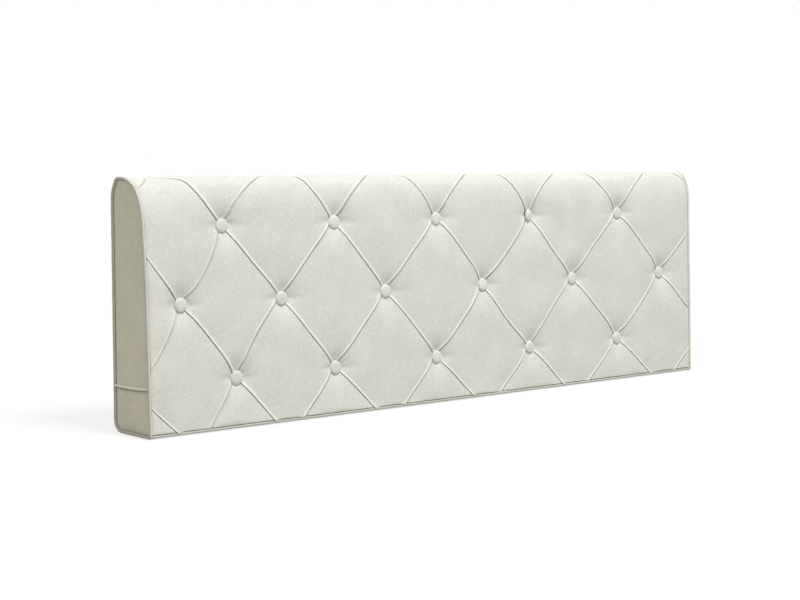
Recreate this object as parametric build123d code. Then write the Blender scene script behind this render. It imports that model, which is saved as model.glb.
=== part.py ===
from build123d import *
import math
import os

# Overall size of the cushion, in millimetres. X runs along it, the front faces -Y, Z is up.
LENGTH = 1600.0
HEIGHT = 500.0
DEPTH = 135.0

# Cloth thicknesses and the clearances between neighbouring soft layers
CLOTH = 1.2
BACKING_CLOTH = 1.0
LINER_CLOTH = 0.8
SKIN_GAP = 0.8
SEAT_GAP = 0.5
TRIM_GAP = 0.3

# Side outline: its feet, and how far each upper corner of its polygon lies in from the outline's box,
# with its rounding, as shares of the depth
FRONT_FOOT_RADIUS = 8.0
BACK_FOOT_RADIUS = 26.0
SHOULDER_LEAN_SHARE = 0.1148
SHOULDER_DROP_SHARE = 0.4074
SHOULDER_RADIUS_SHARE = 0.7630
BROW_SETBACK_SHARE = 0.4741
BROW_RADIUS_SHARE = 0.5778
NAPE_FORWARD_SHARE = 0.1333
NAPE_RADIUS_SHARE = 0.1185
NAPE_DROP_SHARE = 0.2222
NAPE_LOW_RADIUS_SHARE = 0.4444

# Piping cords and the welted seam across each end
CORD_RADIUS = 3.0
CORD_SETBACK = 0.4
CORD_JOINT = 0.5
LEAST_ARC_RISE = 0.05
PLANE_SLACK = 0.0005
WELT_RADIUS = 2.2
WELT_RISE_SHARE = 0.184
END_CROWN = 2.5
END_CROWN_SHARE = 0.85

# Tufting: two rows of five buttons with a row of six between them, placed by hand on the real cushion
ROW_PITCH_SHARE = 0.304
BOTTOM_ROW_SHARE = 0.184
BUTTON_PITCH_SHARE = 0.178125
TOP_BUTTON_SHARES = (-2.154, -1.168, -0.168, 0.839, 1.898)
MIDDLE_BUTTON_SHARES = (-2.509, -1.660, -0.691, 0.312, 1.330, 2.428)
BOTTOM_BUTTON_SHARES = (-2.067, -1.186, -0.193, 0.821, 1.870)
LATTICE_LEFT_SHARE = -2.940
LATTICE_RIGHT_SHARE = 3.035
SEAT_HALF = 16.0
SEAT_DEPTH = 18.0
PLEAT_DEPTH = 9.0
BROW_PLEAT_DEPTH = 7.0
NAPE_PLEAT_DEPTH = 6.0
EDGE_DRAW = 2.5
SEAM_DRAW = 3.0
SEAM_FADE = 14.0
SEAM_START = 0.5
EDGE_STRIP = 5.0
EDGE_SAG_SHARE = 0.2
CROWN_POWER_SHARE = 3.0
BAY_SHARES = (0.333, 0.667)
BROW_SHARES = (0.25, 0.50, 0.73, 0.88)
BROW_FULLNESS = 22.0
FULLNESS_SHARES = (0.0, 0.60, 1.0, 0.42, 0.08, 0.0)
FULLNESS_REACH = 60.0
NAPE_SHARES = (0.30, 0.60, 0.82)

# Quilting pad, its backing cloth and the core behind them
PAD_DEPTH = 34.0
PAD_BROW_SHARES = (1.0, 0.88, 0.60, 0.44)
PAD_END_DEPTH = 12.0
PAD_FOOT_RUN = 3.0
TWINE_ROOM = 5.2
CORE_NAPE_ROUND = 1.5
BACK_ROOM = 6.0
CORE_FLOOR_GAP = 0.6
CORE_END_GAP = 2.5

# Covered buttons, their wire eyes, the tufting twine and the washers that anchor it
BUTTON_RADIUS = 15.0
BUTTON_HEIGHT = 8.5
BUTTON_CLOTH = 0.8
BUTTON_SHELL = 0.5
BUTTON_TUCK = 2.8
BUTTON_RIM_SHARE = 0.40
BUTTON_DOME_SHARES = (0.500, 0.09)
BUTTON_BROW_SHARES = (0.840, 0.36)
BUTTON_CHEEK_SHARES = (0.965, 0.66)
BUTTON_CHIN_SHARES = (0.955, 0.68)
BUTTON_BACK_THICKNESS = 0.8
EYE_WIRE_RADIUS = 0.45
EYE_LOOP_RADIUS = 1.2
EYE_DROP = 1.2
TWINE_RADIUS = 0.45
TWINE_LOOP_RADIUS = 1.2
TWINE_HOLE_RADIUS = 2.2
WASHER_RADIUS = 11.0
WASHER_THICKNESS = 1.2
WASHER_HOLE_RADIUS = 0.8
WASHER_GAP = 0.4

# Zipper low on the back: tapes, chain rows, slider, pull tab and stops
ZIP_RISE_SHARE = 0.15
ZIP_END_ROOM = 150.0
ZIP_SLOT_HALF = 6.0
ZIP_TAPE_WIDTH = 12.0
ZIP_TAPE_THICKNESS = 0.7
ZIP_TAPE_OVERRUN = 20.0
CHAIN_GAP_HALF = 0.8
CHAIN_WIDTH = 2.0
CHAIN_DEPTH = 2.4
STOP_LENGTH = 3.0
SLIDER_LENGTH = 11.0
SLIDER_HALF_WIDTH = 4.4
SLIDER_PLATE = 1.2
SLIDER_FLANGE = 1.0
SLIDER_RUN_GAP = 0.4
SLIDER_NECK_LENGTH = 2.5
SLIDER_NECK_HALF = 0.5
LUG_LENGTH = 6.0
LUG_HALF_WIDTH = 0.8
LUG_BAR = 0.9
PULL_BAR_RADIUS = 0.6
PULL_ARM_LENGTH = 6.0
PULL_LENGTH = 26.0
PULL_HALF_WIDTH = 3.2
PULL_WINDOW_HALF = 1.4
PULL_CORNER = 2.0

# Values that follow from the ones above
CORD_INSET = CORD_RADIUS + CORD_SETBACK
HALF_LENGTH = LENGTH / 2
CORD_CENTRE_X = HALF_LENGTH - CORD_RADIUS
PANEL_HALF_LENGTH = HALF_LENGTH - 2 * CORD_RADIUS - SKIN_GAP
BACK_PLANE = DEPTH / 2
WELT_RISE = HEIGHT * WELT_RISE_SHARE
ROW_PITCH = HEIGHT * ROW_PITCH_SHARE
BOTTOM_ROW_RUN = HEIGHT * BOTTOM_ROW_SHARE
BUTTON_PITCH = LENGTH * BUTTON_PITCH_SHARE
NAPE_RADIUS = DEPTH * NAPE_RADIUS_SHARE
NAPE_SETBACK = NAPE_RADIUS - CORE_NAPE_ROUND
ZIP_RISE = HEIGHT * ZIP_RISE_SHARE
ZIP_LENGTH = LENGTH - 2 * ZIP_END_ROOM
ROW_RUNS = [BOTTOM_ROW_RUN + ROW_PITCH * row for row in (-1, 0, 1, 2, 3)]
OUTLINE_CORNERS = (
    (0.0, 0.0, FRONT_FOOT_RADIUS),
    (DEPTH * SHOULDER_LEAN_SHARE, HEIGHT - DEPTH * SHOULDER_DROP_SHARE, DEPTH * SHOULDER_RADIUS_SHARE),
    (DEPTH * BROW_SETBACK_SHARE, HEIGHT, DEPTH * BROW_RADIUS_SHARE),
    (DEPTH * (1 - NAPE_FORWARD_SHARE), HEIGHT, NAPE_RADIUS),
    (DEPTH, HEIGHT - DEPTH * NAPE_DROP_SHARE, DEPTH * NAPE_LOW_RADIUS_SHARE),
    (DEPTH, 0.0, BACK_FOOT_RADIUS),
)


def unit(y, z):
    """Direction of (y, z) with a length of one."""
    size = math.hypot(y, z)
    return y / size, z / size


def outline_pieces(corners=OUTLINE_CORNERS):
    """Lines and arcs of a rounded outline, from the front foot up, over the top and back to it."""
    rounded = []
    for index, (y, z, radius) in enumerate(corners):
        before, after = corners[index - 1], corners[(index + 1) % len(corners)]
        into = unit(y - before[0], z - before[1])
        out = unit(after[0] - y, after[1] - z)
        turn = math.acos(into[0] * out[0] + into[1] * out[1])
        reach = radius * math.tan(turn / 2)
        start = (y - into[0] * reach, z - into[1] * reach)
        normal = (-into[1], into[0])
        centre = (start[0] - normal[0] * radius, start[1] - normal[1] * radius)
        end = (y + out[0] * reach, z + out[1] * reach)
        rounded.append((start, end, centre, radius, math.atan2(normal[1], normal[0]), turn))
    pieces = []
    for index, corner in enumerate(rounded):
        following = rounded[(index + 1) % len(rounded)]
        run = (following[0][0] - corner[1][0], following[0][1] - corner[1][1])
        pieces.append(("line", corner[1], unit(*run), math.hypot(*run)))
        pieces.append(("arc", following[2], following[3], following[4], following[5]))
    return pieces


PIECES = outline_pieces()


def run_to(count):
    """Run along the outline over its first pieces."""
    return sum(piece[3] if piece[0] == "line" else piece[2] * piece[4] for piece in PIECES[:count])


# The nape is the outline's arc behind the top. The back panel starts below the arc that follows it.
NAPE_RUN = run_to(5)
NAPE_ARC_RUN = run_to(6)
BACK_SEAM_RUN = run_to(8)
BACK_SEAM_RISE = PIECES[8][1][1]


def outline_at(run, depth=0.0):
    """Point of the outline after this run from the front foot, moved inwards by depth."""
    for piece in PIECES:
        if piece[0] == "line":
            _, start, way, length = piece
            if run <= length:
                y, z = start[0] + way[0] * run, start[1] + way[1] * run
                return y + way[1] * depth, z - way[0] * depth
        else:
            _, centre, radius, angle, turn = piece
            length = radius * turn
            if run <= length:
                angle -= run / radius
                reach = radius - depth
                return centre[0] + reach * math.cos(angle), centre[1] + reach * math.sin(angle)
        run -= length
    raise ValueError("the run is longer than the outline")


def place(x, point):
    """Point in the part's frame of a side outline point at this place along the cushion."""
    return Vector(x, point[0] - DEPTH / 2, point[1])


def shrunk(point, share):
    """Side outline point drawn towards the middle of the outline's box."""
    middle = (DEPTH / 2, HEIGHT / 2)
    return tuple(centre + (value - centre) * share for value, centre in zip(point, middle))


def outline_edges(x, inset, pieces=None, share=1.0):
    """Edges of the outline moved inwards by inset and shrunk, in the plane at x, in order."""
    edges = []
    for piece in pieces or PIECES:
        if piece[0] == "line":
            _, start, way, length = piece
            first = (start[0] + way[1] * inset, start[1] - way[0] * inset)
            points = [first, (first[0] + way[0] * length, first[1] + way[1] * length)]
            edges.append(Edge.make_line(*[place(x, shrunk(point, share)) for point in points]))
        else:
            _, centre, radius, angle, turn = piece
            reach = radius - inset
            points = [
                (centre[0] + reach * math.cos(angle - turn * along),
                 centre[1] + reach * math.sin(angle - turn * along))
                for along in (0.0, 0.5, 1.0)
            ]
            spots = [place(x, shrunk(point, share)) for point in points]
            edges.append(Edge.make_three_point_arc(*spots))
    return edges


# Tufting lattice
def row_marks(row):
    """Ends of the button seats on one lattice row, from left to right, with no seat on a virtual row."""
    if row % 2:
        shares = BOTTOM_BUTTON_SHARES if row == 1 else TOP_BUTTON_SHARES
        inner = [share * BUTTON_PITCH + side * SEAT_HALF for share in shares for side in (-1, 1)]
        left = LATTICE_LEFT_SHARE * BUTTON_PITCH + SEAT_HALF
        right = LATTICE_RIGHT_SHARE * BUTTON_PITCH - SEAT_HALF
        return [left, *inner, right]
    return [
        share * BUTTON_PITCH + side * SEAT_HALF
        for share in MIDDLE_BUTTON_SHARES for side in (-1, 1)
    ]


def bay_at(run):
    """Lattice row below this run, and the share of the way to the next row past the seats."""
    row = max(index for index, start in enumerate(ROW_RUNS) if start - SEAT_HALF <= run)
    if row == len(ROW_RUNS) - 1:
        return row - 1, 1.0
    share = (run - ROW_RUNS[row] - SEAT_HALF) / (ROW_PITCH - 2 * SEAT_HALF)
    return row, min(max(share, 0.0), 1.0)


def pleat_marks(run):
    """Places along the cushion where this section crosses the pleats, and whether each is at an edge."""
    row, share = bay_at(run)
    limit = PANEL_HALF_LENGTH - EDGE_STRIP
    marks = []
    for low, high in zip(row_marks(row), row_marks(row + 1)):
        x = low + (high - low) * share
        marks.append((min(max(x, -limit), limit), abs(x) >= limit))
    return marks


def pleat_depth(run):
    """Depth of the pleats at this run: deep at the buttons and shallow between them."""
    row, share = bay_at(run)
    low, high = BAY_SHARES
    start = SEAT_DEPTH if row > 0 else SEAM_DRAW
    end = SEAT_DEPTH if row < 3 else NAPE_PLEAT_DEPTH
    near, far = PLEAT_DEPTH, (PLEAT_DEPTH if row < 3 else BROW_PLEAT_DEPTH)
    if share < low:
        return start + (near - start) * share / low
    if share > high:
        return far + (end - far) * (share - high) / (1 - high)
    return near + (far - near) * (share - low) / (high - low)


def seam_fade(run):
    """Share of the full relief left near the bottom seam and near the back seam."""
    if run < SEAM_FADE:
        return run / SEAM_FADE
    if run > NAPE_ARC_RUN:
        return (BACK_SEAM_RUN - run) / (BACK_SEAM_RUN - NAPE_ARC_RUN)
    return 1.0


def seam_depth(run):
    """Depth to which the panel is drawn in at the seam nearest to this run."""
    return SEAM_DRAW if run < SEAM_FADE else 0.0


def fullness(run, x):
    """How far the pillows over the shoulder swell beyond the outline of the ends."""
    stops = [brow_run(share) for share in (0.0, *BROW_SHARES, 1.0)]
    reach = min(1.0, (PANEL_HALF_LENGTH - abs(x)) / FULLNESS_REACH)
    for low, high, near, far in zip(stops, stops[1:], FULLNESS_SHARES, FULLNESS_SHARES[1:]):
        if low <= run <= high:
            return BROW_FULLNESS * reach * (near + (far - near) * (run - low) / (high - low))
    return 0.0


def section_depths(run):
    """Places and depths of the section's pleat crossings, and the depths of the crowns between them."""
    marks = pleat_marks(run)
    deep = pleat_depth(run)
    xs = [-PANEL_HALF_LENGTH, *[x for x, _ in marks], PANEL_HALF_LENGTH]
    inner = [EDGE_DRAW if edge else deep - fullness(run, x) for x, edge in marks]
    depths = [EDGE_DRAW, *inner, EDGE_DRAW]
    widest = BUTTON_PITCH - 2 * SEAT_HALF
    crowns = []
    for index in range(len(xs) - 1):
        low, high = sorted((depths[index], depths[index + 1]))
        if index in (0, len(xs) - 2):
            crown = low + EDGE_SAG_SHARE * (high - low)
        else:
            share = (xs[index + 1] - xs[index] - 2 * SEAT_HALF) / (widest - 2 * SEAT_HALF)
            share = min(max(share, 0.0), 1.0)
            swell = fullness(run, (xs[index] + xs[index + 1]) / 2)
            crown = min(SEAT_DEPTH * (1 - share) ** CROWN_POWER_SHARE - swell, (low + high) / 2)
        crowns.append(crown)
    fade, seam = seam_fade(run), seam_depth(run)
    mix = lambda depth: seam + (depth - seam) * fade
    return xs, [mix(depth) for depth in depths], [mix(crown) for crown in crowns]


def section_edges(run, sink):
    """Edges of one tufted section, sunk by the thickness of what lies over it."""
    xs, depths, crowns = section_depths(run)
    ends = [place(x, outline_at(run, depth + sink)) for x, depth in zip(xs, depths)]
    edges = []
    for index, crown in enumerate(crowns):
        first, last = ends[index], ends[index + 1]
        middle = place((xs[index] + xs[index + 1]) / 2, outline_at(run, crown + sink))
        if (middle - (first + last) / 2).length < LEAST_ARC_RISE:
            edges.append(Edge.make_line(first, last))
        else:
            edges.append(Edge.make_three_point_arc(first, middle, last))
    return edges


def strip_faces(lower, upper):
    """Faces between two neighbouring sections: flat where they can be, ruled elsewhere."""
    faces = []
    for first, second in zip(lower, upper):
        flat = first.geom_type == GeomType.LINE and second.geom_type == GeomType.LINE
        corners = [first @ 0, first @ 1, second @ 1, second @ 0]
        side, across, skew = corners[1] - corners[0], corners[3] - corners[0], corners[2] - corners[0]
        if flat and abs(side.cross(across).normalized().dot(skew)) < PLANE_SLACK:
            faces.append(Face(Wire.make_polygon(corners)))
        else:
            faces.append(Face.make_surface_from_curves(first, second))
    return faces


def panel_runs(start, end):
    """Runs of the sections of a tufted layer between two runs, the same places on every layer."""
    runs = [SEAM_START, PAD_FOOT_RUN, SEAM_FADE]
    bay = ROW_PITCH - 2 * SEAT_HALF
    for row in (1, 2, 3):
        low = ROW_RUNS[row - 1] + SEAT_HALF
        runs += [low + bay * share for share in BAY_SHARES]
        runs += [ROW_RUNS[row] - SEAT_HALF, ROW_RUNS[row] + SEAT_HALF]
    runs += [brow_run(share) for share in BROW_SHARES]
    runs += [NAPE_RUN, (NAPE_RUN + NAPE_ARC_RUN) / 2, NAPE_ARC_RUN]
    runs += [NAPE_ARC_RUN + (BACK_SEAM_RUN - NAPE_ARC_RUN) * share for share in NAPE_SHARES]
    runs.append(BACK_SEAM_RUN)
    return [run for run in sorted(runs) if start - LEAST_ARC_RISE < run < end + LEAST_ARC_RISE]


def brow_run(share):
    """Run at this share of the way from the top row's seats to the nape."""
    last = ROW_RUNS[3] + SEAT_HALF
    return last + (NAPE_RUN - last) * share


def closed_solid(faces):
    """Solid bounded by these faces."""
    solid = Solid(Shell(faces))
    return solid if solid.volume > 0 else Solid(Shell([-face for face in faces]))


def tufted_layer(runs, sink, back_edges):
    """Solid between a tufted face, sunk by sink, and the back edges given for each section."""
    fronts = [section_edges(run, sink) for run in runs]
    backs = [back_edges(run) for run in runs]
    faces = []
    for index in range(len(runs) - 1):
        faces += strip_faces(fronts[index], fronts[index + 1])
        faces += strip_faces(backs[index], backs[index + 1])
        for end, edge in ((0, 0), (1, -1)):
            faces.append(Face(Wire.make_polygon([
                fronts[index][edge] @ end, fronts[index + 1][edge] @ end,
                backs[index + 1][edge] @ end, backs[index][edge] @ end,
            ])))
    for index in (0, -1):
        front, back = fronts[index], backs[index]
        sides = [
            Edge.make_line(front[0] @ 0, back[0] @ 0), Edge.make_line(front[-1] @ 1, back[-1] @ 1),
        ]
        faces.append(Face(Wire([*front, *back, *sides])))
    return closed_solid(faces)


def pad_back_depth(run):
    """Depth of the pad's flat back, which thins out over the top."""
    stops = [brow_run(share) for share in (0.0, *BROW_SHARES, 1.0)]
    depths = [PAD_DEPTH * share for share in (1.0, *PAD_BROW_SHARES)] + [PAD_END_DEPTH]
    if run <= stops[0]:
        return PAD_DEPTH
    for low, high, near, far in zip(stops, stops[1:], depths, depths[1:]):
        if run <= high:
            return near + (far - near) * (run - low) / (high - low)
    return PAD_END_DEPTH


def straight_back(run):
    """Straight back edge of the pad's section."""
    point = outline_at(run, pad_back_depth(run))
    return [Edge.make_line(place(-PANEL_HALF_LENGTH, point), place(PANEL_HALF_LENGTH, point))]


# Button seats
def seats():
    """Name and plane of each button seat: the plane's Z axis leaves the cloth."""
    rows = (
        ("bottom", 1, BOTTOM_BUTTON_SHARES), ("middle", 2, MIDDLE_BUTTON_SHARES),
        ("top", 3, TOP_BUTTON_SHARES),
    )
    found = []
    for row_name, row, shares in rows:
        low = outline_at(ROW_RUNS[row] - SEAT_HALF, SEAT_DEPTH)
        high = outline_at(ROW_RUNS[row] + SEAT_HALF, SEAT_DEPTH)
        up = unit(high[0] - low[0], high[1] - low[1])
        middle = ((low[0] + high[0]) / 2, (low[1] + high[1]) / 2)
        for number, share in enumerate(shares, 1):
            plane = Plane(
                origin=place(share * BUTTON_PITCH, middle), x_dir=(1, 0, 0),
                z_dir=(0, -up[1], up[0]),
            )
            found.append((f"{row_name}_{number}", plane))
    return found


def on_seats(shape):
    """Copies of a shape made at the origin, one on every button seat."""
    return [plane.location * shape for _, plane in seats()]


def with_twine_holes(layer):
    """The layer with a hole for the twine at every button."""
    drill = Cylinder(TWINE_HOLE_RADIUS, 2 * PAD_DEPTH)
    return layer.cut(*[hole.solid() for hole in on_seats(drill)])


# Front panel, pad and backing
def front_panel():
    """Velvet panel over the front and the top, drawn in at the buttons."""
    runs = panel_runs(SEAM_START, BACK_SEAM_RUN)
    layer = tufted_layer(runs, 0.0, lambda run: section_edges(run, CLOTH))
    return with_twine_holes(layer)


def pad_runs():
    """Runs of the pad's sections, which stop before the nape."""
    return panel_runs(PAD_FOOT_RUN, brow_run(BROW_SHARES[-1]))


def tufting_pad():
    """Quilting foam under the front panel, squeezed thin at every button."""
    return with_twine_holes(tufted_layer(pad_runs(), CLOTH + SKIN_GAP, straight_back))


def ribbon(points, thickness_points, half_length):
    """Flat-faceted sheet between two rows of side outline points."""
    corners = [place(-half_length, point) for point in [*points, *reversed(thickness_points)]]
    return Solid.extrude(Face(Wire.make_polygon(corners)), Vector(2 * half_length, 0, 0))


def pad_backing():
    """Backing cloth that the twine is drawn against."""
    runs, near = pad_runs(), SKIN_GAP
    far = near + BACKING_CLOTH
    outer = [outline_at(run, pad_back_depth(run) + near) for run in runs]
    inner = [outline_at(run, pad_back_depth(run) + far) for run in runs]
    return with_twine_holes(ribbon(outer, inner, PANEL_HALF_LENGTH))


# Liner bag and core
def core_outline():
    """Side outline of the inner liner, as points."""
    setback = SKIN_GAP + BACKING_CLOTH + TWINE_ROOM
    runs = [brow_run(share) for share in (0.0, *BROW_SHARES)]
    foot = outline_at(PAD_FOOT_RUN, PAD_DEPTH + setback)
    points = [(foot[0], CLOTH + CORE_FLOOR_GAP)]
    points += [outline_at(run, pad_back_depth(run) + setback) for run in runs]
    points += [outline_at(run, NAPE_SETBACK) for run in (NAPE_RUN, NAPE_ARC_RUN)]
    points.append((DEPTH - BACK_ROOM, BACK_SEAM_RISE))
    turn = BACK_FOOT_RADIUS - BACK_ROOM
    diagonal = turn * (1 - math.sqrt(0.5))
    points.append((DEPTH - BACK_ROOM, BACK_FOOT_RADIUS))
    points.append((DEPTH - BACK_ROOM - diagonal, BACK_ROOM + diagonal))
    points.append((DEPTH - BACK_FOOT_RADIUS, CLOTH + CORE_FLOOR_GAP))
    return points


def core_block(inset):
    """Block with the liner's outline moved inwards by inset on every side."""
    half = PANEL_HALF_LENGTH - CORE_END_GAP - inset
    face = Face(Wire.make_polygon([place(-half, point) for point in core_outline()]))
    if inset:
        face = offset(face, amount=-inset, kind=Kind.INTERSECTION).face()
    return Solid.extrude(face, Vector(2 * half, 0, 0))


def core_liner():
    """Closed inner bag round the foam core."""
    return core_block(0.0).cut(core_block(LINER_CLOTH))


# Flat panels of the cover
def bar(x_range, y_range, z_range):
    """Box between these limits of the part's frame."""
    lows, highs = zip(x_range, y_range, z_range)
    size = [high - low for low, high in zip(lows, highs)]
    middle = [(low + high) / 2 for low, high in zip(lows, highs)]
    return Pos(*middle) * Box(*size)


def bottom_panel():
    """Flat panel that the cushion stands on."""
    front = FRONT_FOOT_RADIUS + SKIN_GAP - DEPTH / 2
    back = DEPTH / 2 - BACK_FOOT_RADIUS - TRIM_GAP
    return bar((-PANEL_HALF_LENGTH, PANEL_HALF_LENGTH), (front, back), (0.0, CLOTH))


def back_panel_upper():
    """Flat panel that leans on the wall, down to the zipper."""
    return bar(
        (-PANEL_HALF_LENGTH, PANEL_HALF_LENGTH), (BACK_PLANE - CLOTH, BACK_PLANE),
        (ZIP_RISE + ZIP_SLOT_HALF, BACK_SEAM_RISE - SKIN_GAP),
    )


def back_panel_lower():
    """Panel from the zipper down and round the back foot."""
    top, foot = ZIP_RISE - ZIP_SLOT_HALF, BACK_FOOT_RADIUS
    centre = (DEPTH - foot, foot)
    half_turn = math.sqrt(0.5)

    def rounded(radius):
        return [
            (centre[0], centre[1] - radius),
            (centre[0] + radius * half_turn, centre[1] - radius * half_turn),
            (centre[0] + radius, centre[1]),
        ]

    x = -PANEL_HALF_LENGTH
    outer, inner = rounded(foot), rounded(foot - CLOTH)
    edges = [
        Edge.make_three_point_arc(*[place(x, point) for point in outer]),
        Edge.make_line(place(x, outer[2]), place(x, (DEPTH, top))),
        Edge.make_line(place(x, (DEPTH, top)), place(x, (DEPTH - CLOTH, top))),
        Edge.make_line(place(x, (DEPTH - CLOTH, top)), place(x, inner[2])),
        Edge.make_three_point_arc(*[place(x, point) for point in reversed(inner)]),
        Edge.make_line(place(x, inner[0]), place(x, outer[0])),
    ]
    return Solid.extrude(Face(Wire(edges)), Vector(2 * PANEL_HALF_LENGTH, 0, 0))


def swept(edges, radius):
    """Round cord of this radius along joined edges."""
    path = Wire(edges)
    return sweep(Plane(origin=path @ 0, z_dir=path % 0) * Circle(radius), path=path)


# Ends: crowned panels, welted seam and piping
def end_dish(side):
    """Crowned end panel before it is parted at the seam."""
    inset = CORD_INSET + CORD_RADIUS + SKIN_GAP
    edge_x = side * (CORD_CENTRE_X - CLOTH / 2)
    crown_x = edge_x + side * END_CROWN
    rim = Wire(outline_edges(edge_x, inset))
    crown = Wire(outline_edges(crown_x, inset, share=END_CROWN_SHARE))
    outer = Solid.make_loft([rim, crown], ruled=True)
    sheet = Solid.extrude(Face(rim), Vector(-side * CLOTH, 0, 0))
    hollow = outer.translate(Vector(-side * CLOTH, 0, 0))
    return outer.fuse(sheet).cut(hollow)


def end_panel(side, upper):
    """One half of the end panel, above or below the welted seam."""
    clear = WELT_RADIUS + TRIM_GAP
    if upper:
        z_range = (WELT_RISE + clear, HEIGHT)
    else:
        z_range = (0.0, WELT_RISE - clear)
    return end_dish(side) & bar((-HALF_LENGTH, HALF_LENGTH), (-DEPTH / 2, DEPTH / 2), z_range)


def end_welt(side):
    """Cord in the seam across the end panel, from the front piping to the back piping."""
    inset = CORD_INSET + CORD_RADIUS + TRIM_GAP
    front = outline_at(WELT_RISE - FRONT_FOOT_RADIUS, inset)[0] - DEPTH / 2
    back = DEPTH / 2 - inset
    rod = Cylinder(WELT_RADIUS, back - front, rotation=(90, 0, 0))
    x = side * (CORD_CENTRE_X - CLOTH / 2)
    return Pos(x, (front + back) / 2, WELT_RISE) * rod


def end_piping(side):
    """Piping cord all round one end, butted to itself under the cushion."""
    _, start, way, length = PIECES[-2]
    half = (length - CORD_JOINT) / 2
    first = ("line", (start[0] + way[0] * (length - half), start[1]), way, half)
    last = ("line", start, way, half)
    route = [first, PIECES[-1], *PIECES[:-2], last]
    return swept(outline_edges(side * CORD_CENTRE_X, CORD_INSET, route), CORD_RADIUS)


def front_bottom_piping():
    """Piping cord along the front bottom edge, between the cords of the ends."""
    centre = FRONT_FOOT_RADIUS - (FRONT_FOOT_RADIUS - CORD_INSET) * math.sqrt(0.5)
    length = 2 * PANEL_HALF_LENGTH
    return Pos(0, centre - DEPTH / 2, centre) * Cylinder(CORD_RADIUS, length, rotation=(0, 90, 0))


# Covered button, made at the origin with the seat in the XY plane
def button_rim(inset):
    """Outer profile of the button from its top to its lower rim, moved inwards by inset."""
    radius, top = BUTTON_RADIUS - inset, BUTTON_HEIGHT + SEAT_GAP - inset
    rim, hem = SEAT_GAP + BUTTON_HEIGHT * BUTTON_RIM_SHARE, SEAT_GAP + inset
    spot = lambda shares, start, end: (radius * shares[0], start + (end - start) * shares[1])
    return {
        "top": (0.0, top), "dome": spot(BUTTON_DOME_SHARES, top, rim),
        "brow": spot(BUTTON_BROW_SHARES, top, rim), "cheek": spot(BUTTON_CHEEK_SHARES, top, rim),
        "rim": (radius, rim), "chin": spot(BUTTON_CHIN_SHARES, rim, hem),
        "hem": (BUTTON_RADIUS - BUTTON_TUCK, hem),
    }


def profile_point(point):
    """Point of a turned profile, in the XZ plane."""
    return Vector(point[0], 0, point[1])


def dome_edges(rim, down=True):
    """Edges of a dome from its top to its rim, and on under it."""
    spans = [("top", "dome", "brow"), ("brow", "cheek", "rim")]
    if down:
        spans.append(("rim", "chin", "hem"))
    return [
        Edge.make_three_point_arc(*[profile_point(rim[name]) for name in span]) for span in spans
    ]


def turned(edges):
    """Solid turned from a closed profile about the button's axis."""
    return Solid.revolve(Face(Wire(edges)), 360, Axis.Z)


def button_cover():
    """Velvet cap drawn over the shell and tucked under it."""
    outer, inner = button_rim(0.0), button_rim(BUTTON_CLOTH)
    joins = [
        Edge.make_line(profile_point(outer["hem"]), profile_point(inner["hem"])),
        Edge.make_line(profile_point(inner["top"]), profile_point(outer["top"])),
    ]
    return turned([*dome_edges(outer), *dome_edges(inner), *joins])


def button_shell():
    """Metal dome under the button's cloth."""
    start = BUTTON_CLOTH + TRIM_GAP
    outer, inner = button_rim(start), button_rim(start + BUTTON_SHELL)
    joins = [
        Edge.make_line(profile_point(outer["rim"]), profile_point(inner["rim"])),
        Edge.make_line(profile_point(inner["top"]), profile_point(outer["top"])),
    ]
    return turned([*dome_edges(outer, False), *dome_edges(inner, False), *joins])


def button_back():
    """Disc that closes the button behind its tucked cloth."""
    radius = BUTTON_RADIUS - BUTTON_TUCK - TRIM_GAP
    rise = SEAT_GAP + BUTTON_BACK_THICKNESS / 2
    return Pos(0, 0, rise) * Cylinder(radius, BUTTON_BACK_THICKNESS)


def loop_path(radius, top, bottom, across):
    """Points of a U that opens upwards, in the plane of the given horizontal axis."""
    spot = lambda side, rise: Vector(side, 0, rise) if across == "x" else Vector(0, side, rise)
    half_turn = radius * math.sqrt(0.5)
    return [
        Edge.make_line(spot(-radius, top), spot(-radius, bottom)),
        Edge.make_three_point_arc(
            spot(-radius, bottom), spot(-half_turn, bottom - half_turn), spot(0, bottom - radius)),
        Edge.make_three_point_arc(
            spot(0, bottom - radius), spot(half_turn, bottom - half_turn), spot(radius, bottom)),
        Edge.make_line(spot(radius, bottom), spot(radius, top)),
    ]


def button_eye():
    """Wire eye under the button, with both its feet on the back disc."""
    return swept(loop_path(EYE_LOOP_RADIUS, SEAT_GAP, -EYE_DROP, "x"), EYE_WIRE_RADIUS)


def washer_rise():
    """Height of the washer's front face over the seat, which is below it."""
    return SEAT_DEPTH - PAD_DEPTH - SKIN_GAP - BACKING_CLOTH - WASHER_GAP


def tufting_twine():
    """Loop of twine through the button's eye, with its two ends tied behind the washer."""
    top = -EYE_DROP - TWINE_LOOP_RADIUS / 2
    bottom = washer_rise() - WASHER_THICKNESS - TWINE_RADIUS
    lower = loop_path(TWINE_LOOP_RADIUS, top, bottom, "y")
    lift = Vector(0, 0, top - bottom)
    upper = [edge.mirror(Plane.XY.offset(bottom)).translate(lift) for edge in lower[1:3]]
    return (swept(lower, TWINE_RADIUS) + swept(upper, TWINE_RADIUS)).solid()


def anchor_washer():
    """Plastic disc behind the backing cloth with two holes for the twine."""
    rise = washer_rise() - WASHER_THICKNESS / 2
    disc = Cylinder(WASHER_RADIUS, WASHER_THICKNESS)
    for side in (-1, 1):
        disc -= Pos(0, side * TWINE_LOOP_RADIUS, 0) * Cylinder(WASHER_HOLE_RADIUS, WASHER_THICKNESS * 2)
    return Pos(0, 0, rise) * disc


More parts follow.
